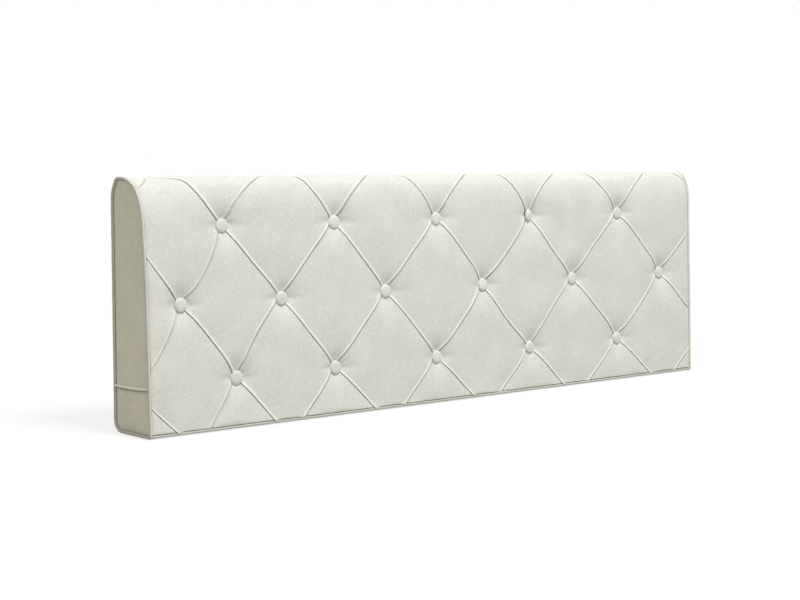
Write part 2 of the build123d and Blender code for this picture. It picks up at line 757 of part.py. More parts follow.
# Zipper, with its chain in the plane of the tapes
TAPE_OUT = BACK_PLANE - CLOTH - TRIM_GAP
CHAIN_PLANE = TAPE_OUT - ZIP_TAPE_THICKNESS / 2
CHAIN_OUTER = CHAIN_GAP_HALF + CHAIN_WIDTH
SLIDER_REST_X = ZIP_LENGTH / 2 - STOP_LENGTH - TRIM_GAP - SLIDER_LENGTH / 2


def zipper_side(side, inner, outer, half_length, y_range):
    """Strip of the zipper above or below its middle line."""
    z_values = sorted((ZIP_RISE + side * inner, ZIP_RISE + side * outer))
    return bar((-half_length, half_length), y_range, z_values)


def zipper_tape(side):
    """Woven tape sewn behind the panel's edge."""
    half = ZIP_LENGTH / 2 + ZIP_TAPE_OVERRUN
    y_range = (TAPE_OUT - ZIP_TAPE_THICKNESS, TAPE_OUT)
    return zipper_side(side, CHAIN_OUTER, CHAIN_OUTER + ZIP_TAPE_WIDTH, half, y_range)


def zipper_chain(side):
    """Row of moulded teeth along the tape's edge, as one bar."""
    y_range = (CHAIN_PLANE - CHAIN_DEPTH / 2, CHAIN_PLANE + CHAIN_DEPTH / 2)
    half = ZIP_LENGTH / 2 - STOP_LENGTH
    return zipper_side(side, CHAIN_GAP_HALF, CHAIN_OUTER, half, y_range)


def zipper_stop(side):
    """Metal stop across both chain rows."""
    ends = sorted((side * (ZIP_LENGTH / 2 - STOP_LENGTH), side * ZIP_LENGTH / 2))
    y_range = (CHAIN_PLANE - CHAIN_DEPTH / 2, CHAIN_PLANE + CHAIN_DEPTH / 2)
    return bar(ends, y_range, (ZIP_RISE - CHAIN_OUTER, ZIP_RISE + CHAIN_OUTER))


def slider_plates():
    """Heights along Y of the slider's inner and outer plates."""
    outer = CHAIN_PLANE + CHAIN_DEPTH / 2 + SLIDER_RUN_GAP
    inner = CHAIN_PLANE - CHAIN_DEPTH / 2 - SLIDER_RUN_GAP
    return inner, outer


def zipper_slider():
    """Slider body: two plates with flanges, joined at the neck, and the lug for the pull tab."""
    inner, outer = slider_plates()
    ends = (SLIDER_REST_X - SLIDER_LENGTH / 2, SLIDER_REST_X + SLIDER_LENGTH / 2)
    width = (ZIP_RISE - SLIDER_HALF_WIDTH, ZIP_RISE + SLIDER_HALF_WIDTH)
    body = bar(ends, (outer, outer + SLIDER_PLATE), width)
    body += bar(ends, (inner - SLIDER_PLATE, inner), width)
    for side in (-1, 1):
        rim = sorted((
            ZIP_RISE + side * SLIDER_HALF_WIDTH, ZIP_RISE + side * (SLIDER_HALF_WIDTH - SLIDER_FLANGE),
        ))
        body += bar(ends, (TAPE_OUT + SLIDER_RUN_GAP, outer), rim)
        body += bar(ends, (inner, TAPE_OUT - ZIP_TAPE_THICKNESS - SLIDER_RUN_GAP), rim)
    neck = (ends[0], ends[0] + SLIDER_NECK_LENGTH)
    body += bar(neck, (inner, outer), (ZIP_RISE - SLIDER_NECK_HALF, ZIP_RISE + SLIDER_NECK_HALF))
    return (body + slider_lug(outer + SLIDER_PLATE)).solid()


def slider_lug(face):
    """Bridge on the slider's outer plate that holds the pull tab's bar."""
    room = 2 * (PULL_BAR_RADIUS + TRIM_GAP)
    width = (ZIP_RISE - LUG_HALF_WIDTH, ZIP_RISE + LUG_HALF_WIDTH)
    low, high = SLIDER_REST_X - LUG_LENGTH / 2, SLIDER_REST_X + LUG_LENGTH / 2
    lug = bar((low, high), (face + room, face + room + LUG_BAR), width)
    for ends in ((low, low + LUG_BAR), (high - LUG_BAR, high)):
        lug += bar(ends, (face, face + room), width)
    return lug


def zipper_pull():
    """Pull tab with the bar that turns under the lug, lying flat along the zipper."""
    _, outer = slider_plates()
    axis_y = outer + SLIDER_PLATE + PULL_BAR_RADIUS + TRIM_GAP
    low = SLIDER_REST_X - PULL_LENGTH
    tab = bar(
        (low, SLIDER_REST_X), (axis_y - PULL_BAR_RADIUS, axis_y + PULL_BAR_RADIUS),
        (ZIP_RISE - PULL_HALF_WIDTH, ZIP_RISE + PULL_HALF_WIDTH),
    )
    far = tab.edges().filter_by(Axis.Y).group_by(Axis.X)[0]
    tab = fillet(far, PULL_CORNER)
    tab -= bar(
        (SLIDER_REST_X - PULL_ARM_LENGTH, SLIDER_REST_X + PULL_BAR_RADIUS),
        (axis_y - PULL_HALF_WIDTH, axis_y + PULL_HALF_WIDTH),
        (ZIP_RISE - PULL_WINDOW_HALF, ZIP_RISE + PULL_WINDOW_HALF),
    )
    turn = Cylinder(PULL_BAR_RADIUS, 2 * PULL_HALF_WIDTH)
    return (tab + Pos(SLIDER_REST_X, axis_y, ZIP_RISE) * turn).solid()


def build():
    """Every node of the part, by name."""
    nodes = {
        "front_panel": front_panel(), "tufting_pad": tufting_pad(), "pad_backing": pad_backing(),
        "core_liner": core_liner(), "foam_core": core_block(LINER_CLOTH + SKIN_GAP),
        "bottom_panel": bottom_panel(), "back_panel_upper": back_panel_upper(),
        "back_panel_lower": back_panel_lower(), "front_bottom_piping": front_bottom_piping(),
        "zipper_slider": zipper_slider(), "zipper_pull": zipper_pull(),
    }
    for name, side in (("left", -1), ("right", 1)):
        nodes[f"{name}_end_panel_upper"] = end_panel(side, True)
        nodes[f"{name}_end_panel_lower"] = end_panel(side, False)
        nodes[f"{name}_end_welt"] = end_welt(side)
        nodes[f"{name}_end_piping"] = end_piping(side)
    for name, side in (("lower", -1), ("upper", 1)):
        nodes[f"zipper_tape_{name}"] = zipper_tape(side)
        nodes[f"zipper_chain_{name}"] = zipper_chain(side)
    nodes["zipper_open_stop"] = zipper_stop(-1)
    nodes["zipper_closed_stop"] = zipper_stop(1)
    cover = button_cover()
    for name, plane in seats():
        nodes[f"button_{name}"] = plane.location * cover
    nodes["button_shells"] = Compound(children=on_seats(button_shell()))
    nodes["button_backs"] = Compound(children=on_seats(button_back()))
    nodes["button_eyes"] = Compound(children=on_seats(button_eye()))
    nodes["tufting_twines"] = Compound(children=on_seats(tufting_twine()))
    nodes["anchor_washers"] = Compound(children=on_seats(anchor_washer()))
    return nodes


os.makedirs("parts", exist_ok=True)
for node, shape in build().items():
    export_step(shape, f"parts/{node}.step")
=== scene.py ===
"""Dressed scene of a button-tufted headboard cushion in off-white velvet.

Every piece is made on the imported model's frame, in millimetres until it is finished.
"""

import logging
import math
from collections.abc import Sequence
from dataclasses import dataclass
from enum import Enum

import bmesh
import bpy
import numpy as np
from mathutils import Matrix, Vector


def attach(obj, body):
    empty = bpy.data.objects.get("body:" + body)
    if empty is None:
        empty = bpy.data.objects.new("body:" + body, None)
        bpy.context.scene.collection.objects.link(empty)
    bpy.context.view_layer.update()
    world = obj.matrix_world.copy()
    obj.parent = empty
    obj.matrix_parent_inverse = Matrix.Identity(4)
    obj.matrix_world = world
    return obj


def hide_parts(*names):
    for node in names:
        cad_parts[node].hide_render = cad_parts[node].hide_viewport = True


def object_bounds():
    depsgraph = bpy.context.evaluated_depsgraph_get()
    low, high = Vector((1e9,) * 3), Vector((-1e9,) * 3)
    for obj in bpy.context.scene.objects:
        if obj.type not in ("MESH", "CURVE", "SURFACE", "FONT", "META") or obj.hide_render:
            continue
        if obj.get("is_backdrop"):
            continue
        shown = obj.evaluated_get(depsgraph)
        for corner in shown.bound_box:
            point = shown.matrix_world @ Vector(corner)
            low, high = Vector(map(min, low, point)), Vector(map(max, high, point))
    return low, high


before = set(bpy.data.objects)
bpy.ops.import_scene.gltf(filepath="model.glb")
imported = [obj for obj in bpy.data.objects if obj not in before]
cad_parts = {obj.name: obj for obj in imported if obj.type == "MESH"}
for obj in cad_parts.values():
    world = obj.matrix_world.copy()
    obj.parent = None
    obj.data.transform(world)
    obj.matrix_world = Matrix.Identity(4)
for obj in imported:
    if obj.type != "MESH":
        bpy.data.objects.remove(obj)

LOG = logging.getLogger("headboard_cushion")
MM = 0.001
CUSHION_BODY = "cushion"
# Mesh layer of painted light: above zero a painted highlight, below zero a painted shade.
PAINTED_LIGHT_LAYER = "painted_light_tone"
ALONG = Vector((1.0, 0.0, 0.0))
ROLL_POWER = 1.4
PIPING_ROOM = 6.8
Colour = tuple[float, float, float]
Materials = dict[str, bpy.types.Material]


class Worded(Enum):
    """Choice whose name is a word in the names of pieces and nodes."""

    @property
    def word(self) -> str:
        """Name of this choice in piece and node names."""
        return self.name.lower()


class Side(Worded):
    """End of the cushion, seen from the front."""

    LEFT = -1
    RIGHT = 1


class Half(Worded):
    """Half of a pair of pieces that lie one above the other."""

    LOWER = -1
    UPPER = 1


class Stretch(Enum):
    """Stretch of the side outline, with its count of lines and arcs from the front foot."""

    TO_NAPE = 5
    TO_BACK_SEAM = 8
    TO_BACK_FOOT = 10
    TO_FRONT_FOOT = 11
    WHOLE = 12


# ---------------------------------------------------------------------------------------------
# Small helpers for numbers
# ---------------------------------------------------------------------------------------------


def smooth_step(value: np.ndarray, low: float, high: float) -> np.ndarray:
    """Smooth rise from zero at low to one at high."""
    share = np.clip((value - low) / (high - low), 0.0, 1.0)
    return share * share * (3.0 - 2.0 * share)


def soft_waves(
    across: np.ndarray, along: np.ndarray, lengths: tuple[float, float], seed: int, count: int = 14
) -> np.ndarray:
    """Smooth seeded unevenness from a few crossing waves.

    Args:
        across: First coordinate, in millimetres.
        along: Second coordinate, in millimetres.
        lengths: Shortest and longest wavelength, in millimetres.
        seed: Seed of the pattern.
        count: Number of waves.

    Returns:
        Values of about minus one to one.
    """
    maker = np.random.default_rng(seed)
    total = np.zeros(np.shape(across))
    for _ in range(count):
        length = maker.uniform(*lengths)
        turn, start = maker.uniform(0.0, math.tau, 2)
        line = across * math.cos(turn) + along * math.sin(turn)
        total = total + np.sin(line * math.tau / length + start)
    return total / math.sqrt(2.0 * count)


def rolled_edges(
    gaps: Sequence[np.ndarray], depths: Sequence[float], widths: Sequence[float]
) -> np.ndarray:
    """Depth by which cloth rolls down beside its seams.

    Args:
        gaps: Distances of the points from each seam.
        depths: Depth at each seam.
        widths: How far the cloth rolls beside each.

    Returns:
        The largest of the depths.
    """
    return np.maximum.reduce([
        depth * np.exp(-((np.maximum(gap, 0.0) / width) ** ROLL_POWER))
        for gap, depth, width in zip(gaps, depths, widths)])


def uneven_marks(low: float, high: float, fine: Sequence[float], coarse: float) -> list[float]:
    """Marks between two borders, close together near both of them.

    Args:
        low: First border.
        high: Last border.
        fine: Distances of the close marks from each border.
        coarse: Largest distance between the other marks.

    Returns:
        Marks in order, with both borders.
    """
    near = [low, *[low + step for step in fine]]
    far = [high - step for step in reversed(fine)] + [high]
    room = far[0] - near[-1]
    count = max(1, math.ceil(room / coarse))
    middle = [near[-1] + room * index / count for index in range(1, count)]
    return [*near, *middle, *far]


# ---------------------------------------------------------------------------------------------
# Small helpers for meshes
# ---------------------------------------------------------------------------------------------


def vertex_array(bm: bmesh.types.BMesh) -> np.ndarray:
    """Vertex places of a mesh under construction, in millimetres."""
    return np.array([vert.co for vert in bm.verts], float).reshape(-1, 3)


def place_vertices(bm: bmesh.types.BMesh, *places: np.ndarray) -> None:
    """Move every vertex of a mesh under construction to its X, Y and Z."""
    for vert, place in zip(bm.verts, np.column_stack(places)):
        vert.co = place


def set_layer(bm: bmesh.types.BMesh, name: str, values: Sequence[float]) -> None:
    """Keep one number for each vertex of a mesh under construction.

    Args:
        bm: Mesh under construction.
        name: Name of the new layer.
        values: One number for each vertex.
    """
    layer = bm.verts.layers.float.new(name)
    for vert, value in zip(bm.verts, values):
        vert[layer] = value


def layer_array(bm: bmesh.types.BMesh, name: str) -> np.ndarray:
    """Numbers that a layer holds for the vertices of a mesh under construction."""
    layer = bm.verts.layers.float[name]
    return np.array([vert[layer] for vert in bm.verts])


def face_outwards(bm: bmesh.types.BMesh, middle: Sequence[float] | None = None) -> None:
    """Make all faces agree, and look away from a point behind them where it is given.

    Args:
        bm: Mesh under construction.
        middle: Point behind an open sheet.
    """
    bmesh.ops.recalc_face_normals(bm, faces=bm.faces)
    if middle is not None and sum(
        (face.calc_center_median() - Vector(middle)).dot(face.normal) * face.calc_area()
        for face in bm.faces
    ) < 0:
        bmesh.ops.reverse_faces(bm, faces=bm.faces)


def finished_piece(
    name: str, bm: bmesh.types.BMesh, materials: Materials, slot: str, *nodes: str
) -> bpy.types.Object:
    """Turn a mesh under construction, made in millimetres, into a piece of the scene.

    Args:
        name: Name of the piece.
        bm: Mesh under construction, which is freed.
        materials: Finishes by slot.
        slot: Material slot of the record that the piece's finish belongs to.
        nodes: Nodes that the piece stands for.

    Returns:
        The piece, linked to the scene at the origin.
    """
    bmesh.ops.scale(bm, vec=(MM, MM, MM), verts=bm.verts)
    mesh = bpy.data.meshes.new(name)
    bm.to_mesh(mesh)
    bm.free()
    mesh.polygons.foreach_set("use_smooth", [True] * len(mesh.polygons))
    mesh.materials.append(materials[slot])
    piece = bpy.data.objects.new(name, mesh)
    bpy.context.scene.collection.objects.link(piece)
    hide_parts(*nodes)
    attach(piece, CUSHION_BODY)
    LOG.info("made %s with %d faces", name, len(mesh.polygons))
    return piece


def grow_edges(
    bm: bmesh.types.BMesh, edges: Sequence[bmesh.types.BMEdge]
) -> tuple[list[bmesh.types.BMVert], list[bmesh.types.BMEdge]]:
    """Extrude edges of a mesh under construction.

    Args:
        bm: Mesh under construction.
        edges: Edges to extrude.

    Returns:
        The new vertices, and the new edges that lie between them.
    """
    grown = bmesh.ops.extrude_edge_only(bm, edges=edges)["geom"]
    verts = [item for item in grown if isinstance(item, bmesh.types.BMVert)]
    fresh = set(verts)
    return verts, [
        item for item in grown
        if isinstance(item, bmesh.types.BMEdge) and all(vert in fresh for vert in item.verts)
    ]


def station(
    spot: Sequence[float], axes: Sequence[Vector], scales: Sequence[float] = (1.0, 1.0)
) -> Matrix:
    """Frame at a spot with these three axes, the first two of them scaled."""
    turn = Matrix(axes).transposed().to_4x4()
    return Matrix.Translation(spot) @ turn @ Matrix.Diagonal((*scales, 1.0, 1.0))


def upright_route(
    x: float, spots: np.ndarray, ways: np.ndarray, scales: np.ndarray
) -> list[Matrix]:
    """Stations of a cord whose route lies in a plane across the cushion.

    Args:
        x: Place of that plane.
        spots: Y and Z of each station.
        ways: Direction of the route there, in Y and Z.
        scales: Both scales of each ring.

    Returns:
        Frames whose Z axis follows the route.
    """
    found = []
    for spot, way, scale in zip(spots, ways, scales):
        ahead = Vector((0.0, *way)).normalized()
        found.append(station((x, *spot), (ALONG, ahead.cross(ALONG), ahead), scale))
    return found


def swept_tube(
    stations: Sequence[Matrix], radius: float, sides: int, closed: bool
) -> bmesh.types.BMesh:
    """Round tube along a row of stations.

    Args:
        stations: Frame of each ring, whose Z axis follows the route. Its scale swells the ring.
        radius: Radius of the tube.
        sides: Number of sides of the tube.
        closed: Whether the last ring joins the first, otherwise both ends are capped.

    Returns:
        Mesh under construction.
    """
    bm = bmesh.new()
    ring = bmesh.ops.create_circle(bm, cap_ends=False, radius=radius, segments=sides)["verts"]
    bmesh.ops.transform(bm, matrix=stations[0], verts=ring)
    edges = first_edges = list(bm.edges)
    for before, after in zip(stations, stations[1:]):
        verts, edges = grow_edges(bm, edges)
        bmesh.ops.transform(bm, matrix=after @ before.inverted(), verts=verts)
    if closed:
        bmesh.ops.bridge_loops(bm, edges=first_edges + edges)
    else:
        bmesh.ops.contextual_create(bm, geom=first_edges)
        bmesh.ops.contextual_create(bm, geom=edges)
    face_outwards(bm)
    return bm


def mapped_grid(columns: Sequence[float], rows: Sequence[float]) -> bmesh.types.BMesh:
    """Flat grid whose lines lie at the given marks.

    Args:
        columns: Marks along X.
        rows: Marks along Y.

    Returns:
        Mesh under construction, facing +Z.
    """
    bm = bmesh.new()
    bmesh.ops.create_grid(
        bm, x_segments=len(columns) - 1, y_segments=len(rows) - 1, size=1.0)
    places = vertex_array(bm)
    mapped = []
    for axis, marks in enumerate((columns, rows)):
        order = np.rint((places[:, axis] + 1) / 2 * (len(marks) - 1)).astype(int)
        mapped.append(np.asarray(marks)[order])
    place_vertices(bm, *mapped, places[:, 2])
    return bm


def add_hem(bm: bmesh.types.BMesh, drops: Sequence[float]) -> None:
    """Turn the open border of a flat mesh down in a few steps along -Z.

    Args:
        bm: Mesh under construction, flat so far.
        drops: Depth of each step below the one before.
    """
    edges = [edge for edge in bm.edges if edge.is_boundary]
    for drop in drops:
        verts, edges = grow_edges(bm, edges)
        bmesh.ops.translate(bm, vec=(0.0, 0.0, -drop), verts=verts)


# ---------------------------------------------------------------------------------------------
# Side outline, shared by every piece of the cover
# ---------------------------------------------------------------------------------------------


@dataclass(frozen=True)
class OutlinePiece:
    """One line or arc of the side outline, in millimetres from the front foot.

    Args:
        length: Length of the piece.
        start: First point of a line, or the centre of an arc.
        way: Direction of a line.
        radius: Radius of an arc, or zero for a line.
        angle: Angle at which an arc starts.
    """

    length: float
    start: tuple[float, float]
    way: tuple[float, float] = (0.0, 0.0)
    radius: float = 0.0
    angle: float = 0.0


@dataclass(frozen=True)
class SideOutline:
    """Rounded side outline of the cushion, walked from the front foot up, over the top and back.

    Args:
        length: Length of the cushion.
        height: Height of the cushion.
        depth: Depth of the cushion.
        front_foot_radius: Rounding of the front foot.
        back_foot_radius: Rounding of the back foot.
        shoulder: Lean, drop and radius of the shoulder, as shares of the depth.
        brow: Setback and radius of the brow, as shares of the depth.
        nape: Setback and radius of the nape, as shares of the depth.
        nape_low: Drop and radius of the lower nape, as shares of the depth.
        full_runs: Runs over the shoulder at which the filling's swell is given.
        full_swells: How far the filled cover stands there beyond the plain outline.
        full_blur: Steps over which the swell is averaged.
        full_reach: Distances from the left end between which the shoulder's swell grows.
        slack_runs: Runs at which the slackness of the left end is given.
        slack_falls: How far the left end lies there behind the plain outline.
    """

    length: float = 1600.0
    height: float = 500.0
    depth: float = 135.0
    front_foot_radius: float = 8.0
    back_foot_radius: float = 26.0
    shoulder: tuple[float, float, float] = (0.1148, 0.4074, 0.7630)
    brow: tuple[float, float] = (0.4741, 0.5778)
    nape: tuple[float, float] = (0.1333, 0.1185)
    nape_low: tuple[float, float] = (0.2222, 0.4444)
    full_runs: tuple[float, ...] = (
        400, 412, 424, 434, 444, 454, 464, 474, 482, 490, 498, 508, 520, 534)
    full_swells: tuple[float, ...] = (
        0, 0.7, 2.8, 5.4, 8.6, 12.1, 15.7, 18.7, 19.7, 17.1, 11.7, 6.2, 2.2, 0)
    full_blur: tuple[float, ...] = (-5.0, -2.5, 0.0, 2.5, 5.0)
    full_reach: tuple[float, float] = (5.0, 150.0)
    slack_runs: tuple[float, ...] = (290, 340, 385, 425, 455, 480)
    slack_falls: tuple[float, ...] = (0, 2.2, 4.6, 5.0, 2.6, 0)

    def corners(self) -> list[tuple[float, float, float]]:
        """Corners of the outline's polygon with their rounding.

        Returns:
            Distance from the front, height and radius of each corner.
        """
        deep, high = self.depth, self.height
        return [
            (0.0, 0.0, self.front_foot_radius),
            (deep * self.shoulder[0], high - deep * self.shoulder[1], deep * self.shoulder[2]),
            (deep * self.brow[0], high, deep * self.brow[1]),
            (deep * (1 - self.nape[0]), high, deep * self.nape[1]),
            (deep, high - deep * self.nape_low[0], deep * self.nape_low[1]),
            (deep, 0.0, self.back_foot_radius),
        ]

    def pieces(self) -> list[OutlinePiece]:
        """Lines and arcs of the outline in order, from the top of the front foot.

        Returns:
            Alternating lines and arcs.
        """
        corners = self.corners()
        rounded = []
        for index, (y, z, radius) in enumerate(corners):
            before, after = corners[index - 1], corners[(index + 1) % len(corners)]
            into = Vector((y - before[0], z - before[1])).normalized()
            out = Vector((after[0] - y, after[1] - z)).normalized()
            turn = math.acos(max(-1.0, min(1.0, into.dot(out))))
            reach = radius * math.tan(turn / 2)
            start = Vector((y, z)) - into * reach
            normal = Vector((-into.y, into.x))
            rounded.append((start, Vector((y, z)) + out * reach, start - normal * radius, radius,
                            math.atan2(normal.y, normal.x), turn))
        found = []
        for index, corner in enumerate(rounded):
            start, _, centre, radius, angle, turn = rounded[(index + 1) % len(rounded)]
            run = start - corner[1]
            found.append(OutlinePiece(run.length, tuple(corner[1]), tuple(run.normalized())))
            found.append(OutlinePiece(radius * turn, tuple(centre), radius=radius, angle=angle))
        return found

    def run_to(self, stretch: Stretch) -> float:
        """Length of a stretch of the outline."""
        return sum(piece.length for piece in self.pieces()[:stretch.value])

    def swell(self, run: np.ndarray, x: np.ndarray | float) -> np.ndarray:
        """How far the filled cover stands beyond the plain outline.

        Args:
            run: Runs along the outline.
            x: Places along the cushion.

        Returns:
            Distances outwards.
        """
        shoulder = np.zeros(np.shape(run))
        for step in self.full_blur:
            shoulder += np.interp(
                run + step, self.full_runs, self.full_swells) / len(self.full_blur)
        slack = np.interp(run, self.slack_runs, self.slack_falls)
        share = smooth_step(self.length / 2 + np.asarray(x, float), *self.full_reach)
        return shoulder * share - slack * (1.0 - share)

    def filled(
        self, run: np.ndarray, depth: np.ndarray | float, x: np.ndarray | float
    ) -> tuple[np.ndarray, np.ndarray]:
        """Y and height of points of the filled cover at x, moved inwards by depth."""
        return self.at(run, depth - self.swell(np.asarray(run, float), x))

    def at(self, run: np.ndarray, depth: np.ndarray | float) -> tuple[np.ndarray, np.ndarray]:
        """Points of the outline, moved inwards.

        Args:
            run: Runs along the outline.
            depth: How far inwards each point lies.

        Returns:
            Distances along Y in the part's frame, and heights.
        """
        left = np.array(run, float)
        deep = np.broadcast_to(np.asarray(depth, float), left.shape)
        y, z = np.zeros_like(left), np.zeros_like(left)
        todo = np.ones(left.shape, bool)
        pieces = self.pieces()
        for index, piece in enumerate(pieces):
            here = todo & ((left <= piece.length) | (index == len(pieces) - 1))
            if piece.radius:
                angle = piece.angle - left[here] / piece.radius
                reach = piece.radius - deep[here]
                y[here] = piece.start[0] + reach * np.cos(angle)
                z[here] = piece.start[1] + reach * np.sin(angle)
            else:
                y[here] = piece.start[0] + piece.way[0] * left[here] + piece.way[1] * deep[here]
                z[here] = piece.start[1] + piece.way[1] * left[here] - piece.way[0] * deep[here]
            todo &= ~here
            left = left - piece.length
        return y - self.depth / 2, z


# ---------------------------------------------------------------------------------------------
# Finishes
# ---------------------------------------------------------------------------------------------


class NodeDesk:
    """Node tree with short calls for adding nodes and joining them.

    Args:
        tree: Node tree of a material or of a group.
    """

    def __init__(self, tree: bpy.types.NodeTree) -> None:
        """Keep the tree."""
        self.tree = tree

    def feed(self, node: bpy.types.Node, values: dict[str | int, object]) -> None:
        """Join sockets to a node's inputs, or set the inputs' own values.

        Args:
            node: Node to feed.
            values: Sockets, numbers and colours by the name or number of the input.
        """
        for label, value in values.items():
            if isinstance(value, bpy.types.NodeSocket):
                self.tree.links.new(value, node.inputs[label])
            else:
                node.inputs[label].default_value = (
                    (*value, 1.0) if isinstance(value, tuple) else value)

    def add(
        self, kind: str, values: dict[str | int, object] | None = None, **settings: object
    ) -> bpy.types.bpy_prop_collection:
        """Add a node.

        Args:
            kind: Type of the node, without the word that all of them start with.
            values: What its inputs get.
            settings: Its properties.

        Returns:
            The new node's outputs.
        """
        node = self.tree.nodes.new("ShaderNode" + kind)
        for name, value in settings.items():
            setattr(node, name, value)
        self.feed(node, values or {})
        return node.outputs

    def noise(
        self, vector: bpy.types.NodeSocket, scale: float | bpy.types.NodeSocket, detail: float,
        rough: float = 0.5,
    ) -> bpy.types.NodeSocket:
        """Add a noise pattern.

        Args:
            vector: Coordinates to read.
            scale: Scale, as a number or from a socket.
            detail: Number of octaves.
            rough: Weight of the finer octaves.

        Returns:
            Value of the pattern.
        """
        return self.add("TexNoise", {
            "Vector": vector, "Scale": scale, "Detail": detail, "Roughness": rough})["Fac"]

    def maths(self, operation: str, *values: bpy.types.NodeSocket | float) -> bpy.types.NodeSocket:
        """Result of a calculation with one or two values."""
        return self.add("Math", dict(enumerate(values)), operation=operation)[0]

    def spread(
        self, value: bpy.types.NodeSocket, low: float, high: float, to_low: float, to_high: float
    ) -> bpy.types.NodeSocket:
        """Map a range of values to another one.

        Args:
            value: Value to map.
            low: Lower end of its range.
            high: Upper end of its range.
            to_low: Result at the lower end.
            to_high: Result at the upper end.

        Returns:
            The mapped value, kept inside the new range.
        """
        return self.add("MapRange", {
            "Value": value, "From Min": low, "From Max": high, "To Min": to_low,
            "To Max": to_high})["Result"]

    def blend(
        self, share: bpy.types.NodeSocket, first: bpy.types.NodeSocket | Colour,
        second: bpy.types.NodeSocket | Colour,
    ) -> bpy.types.NodeSocket:
        """Blend of two colours with this share of the second one."""
        return self.add("Mix", {0: share, 6: first, 7: second}, data_type="RGBA")[2]


def new_group(
    name: str, values: dict[str, float | Colour], outputs: Sequence[str]
) -> tuple[NodeDesk, bpy.types.bpy_prop_collection, bpy.types.Node]:
    """Start a shader node group that reads a vector, a colour and its shade.

    Args:
        name: Name of the group.
        values: First values of its inputs beside the vector and the colour.
        outputs: Names of its outputs beside the colour.

    Returns:
        Desk on the group's tree, what comes into the group, and its output node.
    """
    tree = bpy.data.node_groups.new(name, "ShaderNodeTree")
    kinds = {True: "NodeSocketColor", False: "NodeSocketFloat"}
    tree.interface.new_socket(name="Vector", in_out="INPUT", socket_type="NodeSocketVector")
    for label, value in {"Colour": (1.0, 1.0, 1.0), **values}.items():
        tinted = isinstance(value, tuple)
        socket = tree.interface.new_socket(name=label, in_out="INPUT", socket_type=kinds[tinted])
        socket.default_value = (*value, 1.0) if tinted else value
    for label in ("Color", *outputs):
        tree.interface.new_socket(
            name=label, in_out="OUTPUT", socket_type=kinds[label == "Color"])
    desk = NodeDesk(tree)
    return desk, tree.nodes.new("NodeGroupInput").outputs, tree.nodes.new("NodeGroupOutput")


def pile_group() -> bpy.types.NodeTree:
    """Group for short cut pile: brushed patches, fine mottling, the pile's own grain and painted
    light.

    Returns:
        The group, with Color, Roughness and Height outputs.
    """
    desk, source, sink = new_group(
        "short_pile",
        {"Shade": (0.8, 0.8, 0.8), "Bloom": (1.0, 1.0, 1.0), "Patch Scale": 16.0,
         "Mottle Scale": 190.0, "Pile Scale": 1500.0, "Painted Light": 0.0},
        ("Roughness", "Height"))
    patches, mottle, pile = (
        desk.noise(source["Vector"], source[f"{kind} Scale"], detail, rough)
        for kind, detail, rough in (
            ("Patch", 2.0, 0.45), ("Mottle", 3.0, 0.6), ("Pile", 2.0, 0.6)))
    nap = desk.maths(
        "ADD", desk.spread(patches, 0.35, 0.65, 0.0, 0.34),
        desk.spread(mottle, 0.3, 0.7, 0.0, 0.42))
    shaded = desk.blend(
        desk.maths("ADD", nap, desk.spread(pile, 0.3, 0.7, 0.0, 0.24)),
        source["Shade"], source["Colour"])
    tips = desk.spread(desk.maths("MULTIPLY", pile, mottle), 0.24, 0.42, 0.0, 0.48)
    tinted = desk.blend(tips, shaded, source["Bloom"])
    # Painted light from the mesh layer: above zero a painted highlight in the tips colour on fold
    # lips, below zero a painted shade in fold gaps, beside seams and on cords.
    lip = desk.spread(source["Painted Light"], 0.0, 1.0, 0.0, 1.0)
    gap = desk.spread(source["Painted Light"], -1.0, 0.0, 0.70, 0.0)
    painted_shade_colour = (0.22, 0.20, 0.15)
    desk.feed(sink, {
        "Color": desk.blend(gap, desk.blend(lip, tinted, source["Bloom"]), painted_shade_colour),
        "Roughness": desk.spread(mottle, 0.3, 0.7, 0.94, 0.80),
        "Height": desk.maths(
            "ADD", desk.maths("MULTIPLY", pile, 0.45), desk.maths("MULTIPLY", mottle, 0.55))})
    return desk.tree


def weave_group() -> bpy.types.NodeTree:
    """Group for plain woven cloth: threads crossing in two directions of the X and Z axes.

    Returns:
        The group, with Color and Height outputs.
    """
    desk, source, sink = new_group(
        "plain_weave", {"Shade": (0.7, 0.7, 0.7), "Threads": 900.0}, ("Height",))
    parts = desk.add("SeparateXYZ", {0: source["Vector"]})
    crossing = []
    for line in (parts["X"], desk.maths("ADD", parts["Z"], parts["Y"])):
        turn = desk.maths("MULTIPLY", line, source["Threads"])
        crossing.append(desk.maths("SINE", desk.maths("MULTIPLY", turn, math.tau)))
    checks = desk.spread(desk.maths("MULTIPLY", *crossing), -1.0, 1.0, 0.0, 0.8)
    uneven = desk.noise(source["Vector"], 260.0, 3.0)
    height = desk.maths("ADD", checks, desk.maths("MULTIPLY", uneven, 0.2))
    desk.feed(sink, {
        "Color": desk.blend(height, source["Shade"], source["Colour"]), "Height": height})
    return desk.tree


def cell_group() -> bpy.types.NodeTree:
    """Group for open-cell foam: small pits of several sizes.

    Returns:
        The group, with Color and Height outputs.
    """
    desk, source, sink = new_group(
        "open_cells", {"Shade": (0.5, 0.5, 0.4), "Cells": 700.0}, ("Height",))
    cells = desk.add("TexVoronoi", {"Vector": source["Vector"], "Scale": source["Cells"]})
    uneven = desk.noise(source["Vector"], 90.0, 3.0)
    pits = desk.spread(cells["Distance"], 0.05, 0.6, 0.0, 1.0)
    height = desk.maths(
        "ADD", desk.maths("MULTIPLY", pits, 0.7), desk.maths("MULTIPLY", uneven, 0.3))
    desk.feed(sink, {
        "Color": desk.blend(height, source["Colour"], source["Shade"]), "Height": height})
    return desk.tree


